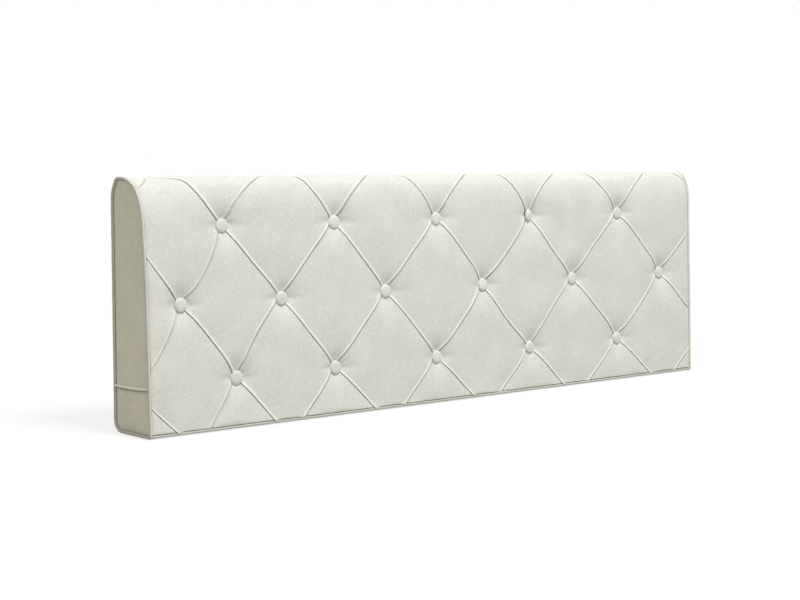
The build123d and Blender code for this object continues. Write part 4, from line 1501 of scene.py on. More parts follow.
@dataclass(frozen=True)
class TuftedFront:
    """Front panel over the front and the top, and the quilting pad behind it.

    Args:
        outline: Side outline of the cushion.
        relief: Relief of the tufting.
        first_run: Run of the bottom seam.
        steps: Distances from a pleat of the mesh lines beside it.
        cell: Usual distance between two parallel pleats.
        lattice_range: Whole numbers between which the lattice is meshed.
        border_steps: Distances from the borders of the extra mesh lines there.
        trim: How far beyond its borders the flat mesh is kept before it is cut.
        fine_reach: Distance from a button within which the mesh is finer.
        fine_edge: Shortest edge that is divided there.
        hem_steps: Steps by which the border is turned in.
        rounds: Rounds in which points are found in the lattice.
        round_share: Share of the way that is still left which each round goes.
        pad_margin: Distance of the pad's ends from the cloth's.
        pad_runs: Run of the pad's foot, and how far it ends before the nape.
        pad_lines: Mesh lines of the pad, along and across.
        pad_sink: How far the pad lies below the cloth.
        pad_least: Least thickness of the pad.
        pad_depth: Depth of the pad's back over the front.
        pad_top_depth: Its depth over the top.
        pad_top_run: Run at which the pad starts to turn thin.
    """

    outline: SideOutline
    relief: TuftRelief
    first_run: float = 0.5
    steps: tuple[float, ...] = (
        0, 0.5, 1.0, 1.6, 2.2, 2.9, 3.7, 4.6, 5.7, 7.0, 9.0, 12, 15, 18, 21.5, 25.5, 30, 35, 41,
        48, 56, 65, 76, 89, 104)
    cell: float = 208.0
    lattice_range: tuple[int, int] = (-5, 6)
    border_steps: tuple[float, ...] = (1.0, 2.2, 4.0, 6.5, 10.0)
    trim: float = 30.0
    fine_reach: float = 22.0
    fine_edge: float = 1.2
    hem_steps: tuple[float, ...] = (1.5, 3.0)
    rounds: int = 12
    round_share: float = 0.9
    pad_margin: float = 2.0
    pad_runs: tuple[float, float] = (5.0, 15.0)
    pad_lines: tuple[int, int] = (211, 73)
    pad_sink: float = 4.5
    pad_least: float = 1.5
    pad_depth: float = 34.0
    pad_top_depth: float = 15.0
    pad_top_run: float = 440.0

    def lattice_marks(self) -> np.ndarray:
        """Lattice coordinates of the mesh lines.

        Returns:
            Coordinates in order, close together beside every pleat.
        """
        half = [step / self.cell for step in self.steps]
        whole = half[:-1] + [0.5] + [1 - share for share in reversed(half[1:-1])]
        marks = [cell + share for cell in range(*self.lattice_range) for share in whole]
        return np.array([*marks, float(self.lattice_range[1])])

    def flat_mesh(self) -> bmesh.types.BMesh:
        """Unfolded panel in X and run, cut to its borders, with its lattice coordinates as layers.

        Returns:
            Mesh under construction.
        """
        marks = self.lattice_marks()
        bm = mapped_grid(marks, marks)
        spots = vertex_array(bm)
        set_layer(bm, "lattice_a", spots[:, 0])
        set_layer(bm, "lattice_b", spots[:, 1])
        place = self.relief.lattice.place(spots[:, 0], spots[:, 1])
        place_vertices(bm, place.x, place.run, spots[:, 2])
        half, last = self.relief.half_length, self.relief.last_run
        outside = (
            (np.abs(place.x) > half + self.trim) | (place.run < self.first_run - self.trim)
            | (place.run > last + self.trim))
        gone = [vert for vert, out in zip(bm.verts, outside) if out]
        bmesh.ops.delete(bm, geom=gone, context="VERTS")
        borders = (
            (Vector((half, 0, 0)), ALONG), (Vector((-half, 0, 0)), -ALONG),
            (Vector((0, self.first_run, 0)), Vector((0, -1, 0))),
            (Vector((0, last, 0)), Vector((0, 1, 0))),
        )
        for spot, normal in borders:
            for step in (0.0, *self.border_steps):
                bmesh.ops.bisect_plane(
                    bm, geom=[*bm.verts, *bm.edges, *bm.faces], dist=1e-4,
                    plane_co=spot - normal * step, plane_no=normal, clear_outer=step == 0.0)
        spots = vertex_array(bm)
        away = self.relief.from_button(spots[:, 0], spots[:, 1])
        bm.edges.index_update()
        near = [
            edge for edge in bm.edges
            if max(away[vert.index] for vert in edge.verts) < self.fine_reach
            and edge.calc_length() > self.fine_edge
        ]
        bmesh.ops.subdivide_edges(bm, edges=near, cuts=1, use_grid_fill=True)
        return bm

    def make_front(self, materials: Materials) -> bpy.types.Object:
        """Build the velvet front panel.

        Args:
            materials: Finishes by slot.

        Returns:
            The panel.
        """
        bm = self.flat_mesh()
        add_hem(bm, self.hem_steps)
        hem = -vertex_array(bm)[:, 2]
        x, run, deep, tone = self.relief.folded(self.relief.lattice.place(
            layer_array(bm, "lattice_a"), layer_array(bm, "lattice_b")))
        # Painted highlight on the lips and painted shade in the gaps of the pleats.
        set_layer(bm, PAINTED_LIGHT_LAYER, tone)
        x = np.clip(x, -self.relief.half_length, self.relief.half_length)
        place_vertices(bm, x, *self.outline.filled(run, deep + hem, x))
        face_outwards(bm)
        piece = finished_piece("front_cover", bm, materials, "velvet_front", "front_panel")
        return piece

    def plain_place(self, x: np.ndarray, run: np.ndarray) -> LatticePlace:
        """Lattice place of points given by their X and run, found in a few rounds.

        Args:
            x: Places along the cushion.
            run: Runs along the side outline.

        Returns:
            Their places and their distances from the pleats.
        """
        lattice = self.relief.lattice
        total = (run - lattice.bottom_run) / lattice.row_pitch
        spread = 2.0 * x / lattice.pitch
        for _ in range(self.rounds):
            place = lattice.place((total + spread) / 2, (total - spread) / 2)
            spread = spread + (x - place.x) / (lattice.pitch / 2) * self.round_share
        return lattice.place((total + spread) / 2, (total - spread) / 2)

    def make_pad(self, materials: Materials) -> bpy.types.Object:
        """Build the quilting pad, which fills the pillows behind the cloth.

        Args:
            materials: Finishes by slot.

        Returns:
            The pad.
        """
        half = self.relief.half_length - self.pad_margin
        last = self.outline.run_to(Stretch.TO_NAPE) - self.pad_runs[1]
        bm = mapped_grid(
            np.linspace(-half, half, self.pad_lines[0]),
            np.linspace(self.pad_runs[0], last, self.pad_lines[1]))
        grown = bmesh.ops.extrude_face_region(bm, geom=list(bm.faces))["geom"]
        backs = {item for item in grown if isinstance(item, bmesh.types.BMVert)}
        behind = np.array([vert in backs for vert in bm.verts])
        x, run, _ = vertex_array(bm).T
        front = self.relief.depth(self.plain_place(x, run)) + self.pad_sink
        thin = smooth_step(run, self.pad_top_run, last)
        back = self.pad_depth + (self.pad_top_depth - self.pad_depth) * thin
        front = np.minimum(front - self.outline.swell(run, x), back - self.pad_least)
        place_vertices(bm, x, *self.outline.at(run, np.where(behind, back, front)))
        face_outwards(bm)
        piece = finished_piece("quilting_pad", bm, materials, "quilting_foam", "tufting_pad")
        return piece


# ---------------------------------------------------------------------------------------------
# Buttons
# ---------------------------------------------------------------------------------------------


@dataclass(frozen=True)
class CoveredButtons:
    """Velvet-covered buttons on their seats, and the metal shells inside them.

    Args:
        outline: Side outline of the cushion.
        lattice: Lattice of the buttons.
        seat_half: Half of the flat seat along the run.
        seat_depth: Depth of the seat.
        profile: Radius and height of the dome, from its top to the tucked hem.
        shell_profile: Radius and height of the metal shell, from its top to its rim.
        shell_thickness: Thickness of the shell.
        segments: Faces round a button.
        radius: Radius of a button.
        pucker: Depth of the gathers round the rim.
        gathers: Numbers of gathers in the patterns that are laid over each other.
        gather_heights: Heights above the seat between which the gathers fade.
        crown_press: How far the crown is pressed out of shape.
        crown_waves: Wavelengths of that, and the number of waves.
        crown_rim: Radii between which that fades.
        tilts: Buttons that sit askew: turns about the seat's two axes, in degrees.
        tilt_height: Height above the seat about which they turn.
        seed: Seed of the small differences between the buttons.
    """

    outline: SideOutline
    lattice: TuftLattice
    seat_half: float = 16.0
    seat_depth: float = 18.0
    profile: tuple[tuple[float, float], ...] = (
        (0.0, 10.1), (3.0, 10.07), (6.0, 9.93), (8.5, 9.68), (10.4, 9.32), (12.0, 8.76),
        (13.2, 8.0), (14.1, 7.0), (14.7, 5.9), (15.0, 4.8), (14.9, 3.7), (14.2, 2.6),
        (13.0, 1.7), (12.0, 1.1), (11.0, 0.6))
    shell_profile: tuple[tuple[float, float], ...] = (
        (0.0, 7.9), (5.0, 7.7), (9.0, 7.0), (11.5, 5.9), (13.0, 4.6), (13.6, 3.6))
    shell_thickness: float = 0.5
    segments: int = 40
    radius: float = 15.0
    pucker: float = 0.28
    gathers: tuple[int, ...] = (9, 11, 14)
    gather_heights: tuple[float, float] = (1.0, 5.5)
    crown_press: float = 0.16
    crown_waves: tuple[tuple[float, float], int] = ((12.0, 26.0), 8)
    crown_rim: tuple[float, float] = (9.0, 14.0)
    tilts: tuple[tuple[str, float, float], ...] = (
        ("top_4", 4.0, 19.0), ("top_5", -2.0, 3.0), ("bottom_1", 3.0, -4.0),
        ("middle_4", -3.0, 2.0), ("bottom_4", 2.0, 4.0))
    tilt_height: float = 4.5
    seed: int = 23

    def seat(self, name: str, x: float, run: float) -> Matrix:
        """Frame of one seat, whose Z axis leaves the cloth.

        Args:
            name: Name of the button.
            x: Its place along the cushion.
            run: Its run along the side outline.

        Returns:
            Frame in millimetres, with the button's tilt.
        """
        ends = np.array([run - self.seat_half, run + self.seat_half])
        y, z = self.outline.at(ends, self.seat_depth)
        up = Vector((0.0, y[1] - y[0], z[1] - z[0])).normalized()
        seat = station((x, float(y.mean()), float(z.mean())), (ALONG, up, ALONG.cross(up)))
        tilt = {label: (nod, shake) for label, nod, shake in self.tilts}.get(name, (0.0, 0.0))
        lean = Matrix.Identity(4)
        for degrees, axis in zip(tilt, "XY"):
            lean = lean @ Matrix.Rotation(math.radians(degrees), 4, axis)
        pivot = Matrix.Translation((0.0, 0.0, self.tilt_height))
        return seat @ pivot @ lean @ pivot.inverted()

    def turned(self, profile: Sequence[tuple[float, float]]) -> bmesh.types.BMesh:
        """Dome turned from a profile about the Z axis.

        Args:
            profile: Radius and height of its points.

        Returns:
            Mesh under construction.
        """
        bm = bmesh.new()
        verts = [bm.verts.new((radius, 0.0, height)) for radius, height in profile]
        edges = [bm.edges.new(pair) for pair in zip(verts, verts[1:])]
        bmesh.ops.spin(
            bm, geom=[*verts, *edges], axis=(0, 0, 1), cent=(0, 0, 0), dvec=(0, 0, 0),
            angle=math.tau, steps=self.segments, use_merge=True, use_duplicate=False)
        bmesh.ops.remove_doubles(bm, verts=bm.verts, dist=1e-4)
        face_outwards(bm)
        return bm

    def gather(self, bm: bmesh.types.BMesh, seed: int) -> None:
        """Gather the cloth round the rim and press the crown slightly uneven.

        Args:
            bm: Button under construction.
            seed: Seed of this button.
        """
        x, y, z = vertex_array(bm).T
        maker = np.random.default_rng(seed)
        angle = np.arctan2(y, x)
        radius = np.hypot(x, y)
        low, high = self.gather_heights
        folds = sum(np.sin(angle * count + maker.uniform(0.0, math.tau)) for count in self.gathers)
        grown = 1.0 + (
            self.pucker * smooth_step(-z, -high, -low) * folds / len(self.gathers) / self.radius)
        lengths, count = self.crown_waves
        crown = soft_waves(x * grown, y * grown, lengths, seed, count)
        press = self.crown_press * crown * (1.0 - smooth_step(radius, *self.crown_rim))
        place_vertices(bm, x * grown, y * grown, z + press)

    def make(self, materials: Materials) -> None:
        """Build every button and the shells.

        Args:
            materials: Finishes by slot.
        """
        shells = bmesh.new()
        for number, (name, x, run) in enumerate(self.lattice.buttons()):
            seat = self.seat(name, x, run)
            bm = self.turned(self.profile)
            self.gather(bm, self.seed + number)
            bmesh.ops.transform(bm, matrix=seat, verts=bm.verts)
            cap = finished_piece(
                f"button_cap_{name}", bm, materials, "velvet_buttons", f"button_{name}")
            shell = self.turned(self.shell_profile)
            bmesh.ops.transform(shell, matrix=seat, verts=shell.verts)
            mesh = bpy.data.meshes.new("shell_copy")
            shell.to_mesh(mesh)
            shell.free()
            shells.from_mesh(mesh)
            bpy.data.meshes.remove(mesh)
        bmesh.ops.solidify(shells, geom=list(shells.faces), thickness=self.shell_thickness)
        finished_piece("button_domes", shells, materials, "button_metal", "button_shells")


# ---------------------------------------------------------------------------------------------
# Piping, end panels and welts
# ---------------------------------------------------------------------------------------------


@dataclass(frozen=True)
class Piping:
    """Velvet-covered cords round both ends and along the front foot.

    Args:
        outline: Side outline of the cushion.
        radius: Radius of the cords.
        inset: How far the cord's middle lies inside the outline.
        step: Distance between the rings of an end cord.
        foot_step: Distance between the rings of the front cord.
        foot_overlap: How far the front cord goes in between the end cords.
        sides: Faces round a cord.
        swell: Share by which the cords swell and narrow.
        swell_lengths: Shortest and longest wavelength of that.
        ahead: Short step along the outline that gives the cord's direction.
        side_painted_shade: How dull the nap of the end cords is on their outer side.
        side_fade: Shares of the radius outwards between which it turns dull.
        foot_painted_shade: How dull the nap of the front cord is.
        seed: Seed of the end cords.
        foot_seed: Seed of the front cord.
    """

    outline: SideOutline
    radius: float = 3.0
    inset: float = 3.4
    step: float = 3.0
    foot_step: float = 6.0
    foot_overlap: float = 0.6
    sides: int = 14
    swell: float = 0.05
    swell_lengths: tuple[float, float] = (9.0, 60.0)
    ahead: float = 0.05
    # side_painted_shade: Strength of the painted shade on the outer side of the end cords.
    side_painted_shade: float = 0.45
    # side_fade: Shares of the radius outwards between which that painted shade grows.
    side_fade: tuple[float, float] = (-0.1, 0.6)
    # foot_painted_shade: Strength of the painted shade all along the front cord.
    foot_painted_shade: float = 0.35
    seed: int = 31
    foot_seed: int = 47

    def swells(self, runs: np.ndarray, seed: int) -> np.ndarray:
        """Both scales of each ring of a cord, near one."""
        waves = soft_waves(runs, np.zeros_like(runs), self.swell_lengths, seed)
        return np.column_stack([1.0 + self.swell * waves] * 2)

    def make_end(self, side: Side, materials: Materials) -> None:
        """Build the cord all round one end.

        Args:
            side: End of the cushion.
            materials: Finishes by slot.
        """
        total = self.outline.run_to(Stretch.WHOLE)
        runs = np.linspace(0.0, total, int(total / self.step), endpoint=False)
        x = side.value * (self.outline.length / 2 - self.radius)
        here, there = (
            np.column_stack(self.outline.filled(runs + step, self.inset, x))
            for step in (0.0, self.ahead))
        stations = upright_route(x, here, there - here, self.swells(runs, self.seed + side.value))
        bm = swept_tube(stations, self.radius, self.sides, closed=True)
        out = side.value * (vertex_array(bm)[:, 0] - x) / self.radius
        # Painted shade on the cord's outer side.
        set_layer(bm, PAINTED_LIGHT_LAYER, -self.side_painted_shade * smooth_step(out, *self.side_fade))
        finished_piece(
            f"{side.word}_end_cord", bm, materials, "velvet_piping", f"{side.word}_end_piping")

    def make_front(self, materials: Materials) -> None:
        """Build the cord along the front foot.

        Args:
            materials: Finishes by slot.
        """
        foot = self.outline.front_foot_radius
        middle = foot - (foot - self.inset) * math.sqrt(0.5)
        half = self.outline.length / 2 - 2.0 * self.radius + self.foot_overlap
        runs = np.linspace(-half, half, int(2.0 * half / self.foot_step))
        axes = (Vector((0, 1, 0)), Vector((0, 0, 1)), ALONG)
        stations = [
            station((x, middle - self.outline.depth / 2, middle), axes, scales)
            for x, scales in zip(runs, self.swells(runs, self.foot_seed))]
        bm = swept_tube(stations, self.radius, self.sides, closed=False)
        # Painted shade all along the front cord.
        set_layer(bm, PAINTED_LIGHT_LAYER, [-self.foot_painted_shade] * len(bm.verts))
        finished_piece(
            "front_foot_cord", bm, materials, "velvet_piping", "front_bottom_piping")


@dataclass(frozen=True)
class EndCovers:
    """Velvet panels of the ends, above and below a welted cross seam.

    Args:
        outline: Side outline of the cushion.
        tuck: How far the panel's border lies inside the outline, under the piping.
        border_x: Distance of the border from the cushion's middle.
        border_marks: Number of points at which the border is looked up.
        columns: Shares of the depth of the close mesh lines beside the borders.
        rows: Shares of a panel's height of those above and below.
        coarse: Largest share between the other mesh lines, by column and by row of each half.
        hem_steps: Steps by which the border is turned in.
        hem_pull: How much farther in the hem is pulled than those steps.
        crown: How far the panel swells beyond its border.
        crown_reach: Distance from the border over which it swells.
        seam_share: Share of the swell that is left at the cross seam.
        seam_reach: Distance from the seam over which the swell grows.
        inner_reach: Distance from the border over which the unevenness grows.
        wave_height: Height of the panel's unevenness.
        wave_lengths: Shortest and longest wavelength of it.
        wave_squeeze: How much shorter it is across, and along.
        pucker_height: Height of the puckers beside the seams.
        pucker_pitch: Distance between them.
        pucker_waver: How far that wavers, and how fast.
        pucker_reach: How far they run from the seam.
        shadow: Tone of the cloth right beside the seams.
        border_shadow: Distances from the border between which it fades.
        seam_shadow: Distances below the cross seam between which it fades.
        welt_rise: Height of the cross seam in the middle.
        welt_lifts: How much higher it ends at the front and at the back.
        welt_radius: Radius of the welt.
        welt_room: Half of the room that the welt leaves between the panels.
        welt_out: How far the welt's middle stands out past the panels beside it.
        welt_rings: Rings and sides of the welt.
        welt_flat: Share of its height that the welt keeps.
        welt_swell: Share by which the welt swells and narrows.
        welt_lengths: Shortest and longest wavelength of that.
        welt_painted_light: Tones of the welt's top and of its underside.
        welt_turn: How far below the welt's middle the underside starts.
        seed: Seed of the panels.
        welt_seed: Seed of the welts.
    """

    outline: SideOutline
    tuck: float = 5.2
    border_x: float = 794.6
    border_marks: int = 6000
    columns: tuple[float, ...] = (0.012, 0.03, 0.055, 0.09, 0.13)
    rows: tuple[float, ...] = (0.004, 0.010, 0.018, 0.028, 0.042)
    coarse: tuple[float, float, float] = (0.06, 0.018, 0.05)
    hem_steps: tuple[float, ...] = (1.0, 1.0)
    hem_pull: float = 2.0
    crown: float = 3.4
    crown_reach: float = 9.0
    seam_share: float = 0.42
    seam_reach: float = 9.0
    inner_reach: float = 10.0
    wave_height: float = 0.35
    wave_lengths: tuple[float, float] = (40.0, 110.0)
    wave_squeeze: tuple[float, float] = (1.4, 0.55)
    pucker_height: float = 0.22
    pucker_pitch: float = 17.0
    pucker_waver: tuple[float, float] = (2.1, 0.13)
    pucker_reach: float = 10.0
    shadow: float = -0.9
    border_shadow: tuple[float, float] = (0.8, 4.4)
    seam_shadow: tuple[float, float] = (1.6, 5.0)
    welt_rise: float = 91.2
    welt_lifts: tuple[float, float] = (4.6, 1.1)
    welt_radius: float = 3.1
    welt_room: float = 1.9
    welt_out: float = 0.5
    welt_rings: tuple[int, int] = (44, 12)
    welt_flat: float = 0.92
    welt_swell: float = 0.07
    welt_lengths: tuple[float, float] = (8.0, 40.0)
    # welt_painted_light: Painted highlight on the welt's top and painted shade on its underside.
    welt_painted_light: tuple[float, float] = (1.0, -0.6)
    welt_turn: float = 0.8
    seed: int = 61
    welt_seed: int = 71

    def seam_rise(self, share: np.ndarray) -> np.ndarray:
        """Height of the cross seam at these shares of the way from the front to the back."""
        front, back = self.welt_lifts
        return self.welt_rise + front * (1.0 - share) ** 3 + back * share ** 3

    def borders(self, side: Side, heights: np.ndarray) -> list[np.ndarray]:
        """Front and back border of the panel at these heights.

        Args:
            side: End of the cushion.
            heights: Heights above the floor.

        Returns:
            Distances along Y of the front and of the back border.
        """
        total = self.outline.run_to(Stretch.WHOLE)
        runs = np.linspace(0.0, total, self.border_marks, endpoint=False)
        y, z = self.outline.filled(runs, self.tuck, side.value * self.border_x)
        top, bottom = int(np.argmax(z)), int(np.argmin(z))
        front = np.concatenate([np.arange(bottom, len(runs)), np.arange(0, top + 1)])
        found = []
        for part in (front, np.setdiff1d(np.arange(len(runs)), front)):
            order = part[np.argsort(z[part], kind="stable")]
            found.append(np.interp(heights, z[order], y[order]))
        return found

    def make_panel(self, side: Side, half: Half, materials: Materials) -> bpy.types.Object:
        """Build one panel of an end.

        Args:
            side: End of the cushion.
            half: Panel above or below the cross seam.
            materials: Finishes by slot.

        Returns:
            The panel.
        """
        across, upper, lower = self.coarse
        bm = mapped_grid(
            uneven_marks(0.0, 1.0, self.columns, across),
            uneven_marks(0.0, 1.0, self.rows, upper if half is Half.UPPER else lower))
        add_hem(bm, self.hem_steps)
        share, level, down = vertex_array(bm).T
        seam = self.seam_rise(share)
        floor, top = np.full(len(share), self.tuck), self.outline.height - self.tuck
        low, high = (
            (seam + self.welt_room, top) if half is Half.UPPER else (floor, seam - self.welt_room))
        z = low + (high - low) * level
        front, back = self.borders(side, z)
        y = front + (back - front) * share
        rim = np.minimum(z - self.tuck, top - z)
        gap = np.minimum(np.minimum(y - front, back - y), rim)
        to_seam = np.abs(z - seam) - self.welt_room
        swell = 1.0 - np.exp(-np.maximum(gap, 0.0) / self.crown_reach)
        swell = swell * (self.seam_share + (1.0 - self.seam_share) * smooth_step(
            to_seam, 0.0, self.seam_reach))
        waves = soft_waves(
            y * self.wave_squeeze[0], z * self.wave_squeeze[1], self.wave_lengths,
            self.seed + side.value * 3 + half.value)
        far, fast = self.pucker_waver
        pucker = np.sin(y * math.tau / self.pucker_pitch + far * np.sin(y * fast)) * np.exp(
            -np.maximum(np.minimum(to_seam, rim), 0.0) / self.pucker_reach)
        uneven = self.wave_height * waves + self.pucker_height * pucker
        out = (self.border_x + self.crown * swell
               + uneven * smooth_step(gap, 0.0, self.inner_reach))
        beside = np.maximum(
            1.0 - smooth_step(gap, *self.border_shadow),
            (1.0 - smooth_step(to_seam, *self.seam_shadow)) * (z < seam))
        set_layer(bm, PAINTED_LIGHT_LAYER, self.shadow * beside)
        place_vertices(bm, side.value * (out + self.hem_pull * down), y, z)
        face_outwards(bm, (0.0, 0.0, self.outline.height / 2))
        piece = finished_piece(
            f"{side.word}_end_cover_{half.word}", bm, materials, "velvet_ends",
            f"{side.word}_end_panel_{half.word}")
        return piece

    def make_welt(self, side: Side, materials: Materials) -> None:
        """Build the welt across an end.

        Args:
            side: End of the cushion.
            materials: Finishes by slot.
        """
        rings, sides = self.welt_rings
        shares = np.linspace(0.0, 1.0, rings)
        z = self.seam_rise(shares)
        front, back = self.borders(side, z)
        y = front + (back - front) * shares
        x = side.value * (self.border_x + self.crown * self.seam_share + self.welt_out)
        swells = 1.0 + self.welt_swell * soft_waves(
            y, z, self.welt_lengths, self.welt_seed + side.value)
        stations = upright_route(
            x, np.column_stack((y, z)), np.column_stack((np.gradient(y), np.gradient(z))),
            np.column_stack((swells, swells * self.welt_flat)))
        bm = swept_tube(stations, self.welt_radius, sides, closed=False)
        spots = vertex_array(bm)
        above = spots[:, 2] > np.interp(spots[:, 1], y, z) - self.welt_turn
        # Painted highlight on the welt's top, painted shade on its underside.
        set_layer(bm, PAINTED_LIGHT_LAYER, np.where(above, *self.welt_painted_light))
        finished_piece(
            f"{side.word}_cross_welt", bm, materials, "velvet_ends", f"{side.word}_end_welt")


# ---------------------------------------------------------------------------------------------
# Back and bottom
# ---------------------------------------------------------------------------------------------


@dataclass(frozen=True)
class PlainPanel:
    """One velvet panel of the back or the bottom.

    Args:
        name: Name of the piece.
        node: Node that it stands for.
        runs: First and last run of the panel.
        rolls: Depths to which it rolls in at its ends, its first and its last border.
        slack: Depth of its gentle hollows.
        seed: Seed of its unevenness.
    """

    name: str
    node: str
    runs: tuple[float, float]
    rolls: tuple[float, float, float]
    slack: float
    seed: int


@dataclass(frozen=True)
class PlainCovers:
    """Velvet panels of the back and the bottom, sewn flat.

    Args:
        outline: Side outline of the cushion.
        half_length: Half the length of the panels.
        back_seam: Run of the seam between the front panel and the back.
        slot_rise: Height of the zipper.
        slot_half: Half of the opening for the zipper.
        bottom_front: Distance of the bottom panel's front border from the front.
        seam_gap: Distance of the upper back from the back seam.
        foot_gap: Distance of the bottom panel from the lower back.
        end_roll: Depth to which the panels roll in at the ends.
        end_marks: Distances of the close mesh lines from the ends.
        border_marks: Distances of those from the other borders.
        coarse: Largest distances between the other mesh lines, along and across.
        hem_steps: Steps by which the borders are turned in.
        roll_widths: How far the cloth rolls down beside the ends and the borders.
        hollow_reach: Distance from the borders over which the hollows grow.
        hollow_lengths: Shortest and longest wavelength of the hollows.
        pucker_height: Height of the puckers beside the seams.
        pucker_reach: How far they reach from the seams.
        pucker_lengths: Shortest and longest wavelength of the puckers.
    """

    outline: SideOutline
    half_length: float
    back_seam: float
    slot_rise: float = 75.0
    slot_half: float = 6.0
    bottom_front: float = 8.8
    seam_gap: float = 0.6
    foot_gap: float = 0.4
    end_roll: float = 2.4
    end_marks: tuple[float, ...] = (1.0, 2.5, 4.5, 7.5, 12.0)
    border_marks: tuple[float, ...] = (0.8, 2.0, 3.8, 6.5, 10.0)
    coarse: tuple[float, float] = (16.0, 12.0)
    hem_steps: tuple[float, ...] = (1.2, 2.0)
    roll_widths: tuple[float, ...] = (4.5, 4.0, 4.0)
    hollow_reach: float = 30.0
    hollow_lengths: tuple[float, float] = (90.0, 260.0)
    pucker_height: float = 0.18
    pucker_reach: float = 9.0
    pucker_lengths: tuple[float, float] = (10.0, 22.0)

    def back_run(self, rise: float) -> float:
        """Run at which the back passes this height."""
        return self.back_seam + (self.outline.at(np.array([self.back_seam]), 0.0)[1][0] - rise)

    def make_panel(self, panel: PlainPanel, materials: Materials) -> bpy.types.Object:
        """Build one panel.

        Args:
            panel: What it is.
            materials: Finishes by slot.

        Returns:
            The panel.
        """
        half, (start, finish) = self.half_length, panel.runs
        bm = mapped_grid(
            uneven_marks(-half, half, self.end_marks, self.coarse[0]),
            uneven_marks(start, finish, self.border_marks, self.coarse[1]))
        add_hem(bm, self.hem_steps)
        x, run, down = vertex_array(bm).T
        gaps = [np.maximum(gap, 0.0) for gap in (half - np.abs(x), run - start, finish - run)]
        nearest = np.minimum.reduce(gaps)
        waves = soft_waves(x, run, self.hollow_lengths, panel.seed)
        hollows = 0.5 + 0.5 * np.clip(waves, -1.0, 1.0)
        puckers = 1.0 + soft_waves(x, run, self.pucker_lengths, panel.seed + 5)
        deep = rolled_edges(gaps, panel.rolls, self.roll_widths) - down
        if panel.slack:
            deep += smooth_step(nearest, 0.0, self.hollow_reach) * panel.slack * hollows
            deep += self.pucker_height * np.exp(-nearest / self.pucker_reach) * puckers
        place_vertices(bm, x, *self.outline.at(run, deep))
        face_outwards(bm, (0.0, 0.0, self.outline.height / 2))
        piece = finished_piece(panel.name, bm, materials, "velvet_back", panel.node)
        return piece

    def make(self, materials: Materials) -> None:
        """Build the upper back, the lower back and the bottom.

        Args:
            materials: Finishes by slot.
        """
        upper = self.back_run(self.slot_rise + self.slot_half)
        lower = self.back_run(self.slot_rise - self.slot_half)
        foot = self.outline.run_to(Stretch.TO_BACK_FOOT)
        front = self.outline.run_to(Stretch.TO_FRONT_FOOT) - (
            self.bottom_front - self.outline.front_foot_radius)
        ends = self.end_roll
        for panel in (
            PlainPanel("back_cover_upper", "back_panel_upper",
                       (self.back_seam + self.seam_gap, upper), (ends, 2.0, 1.2), 1.6, 81),
            PlainPanel("back_cover_lower", "back_panel_lower", (lower, foot),
                       (ends, 1.2, 1.4), 0.5, 82),
            PlainPanel("bottom_cover", "bottom_panel", (foot + self.foot_gap, front),
                       (ends, 1.4, 1.6), 0.0, 83),
        ):
            self.make_panel(panel, materials)


# ---------------------------------------------------------------------------------------------
# Zipper
# ---------------------------------------------------------------------------------------------


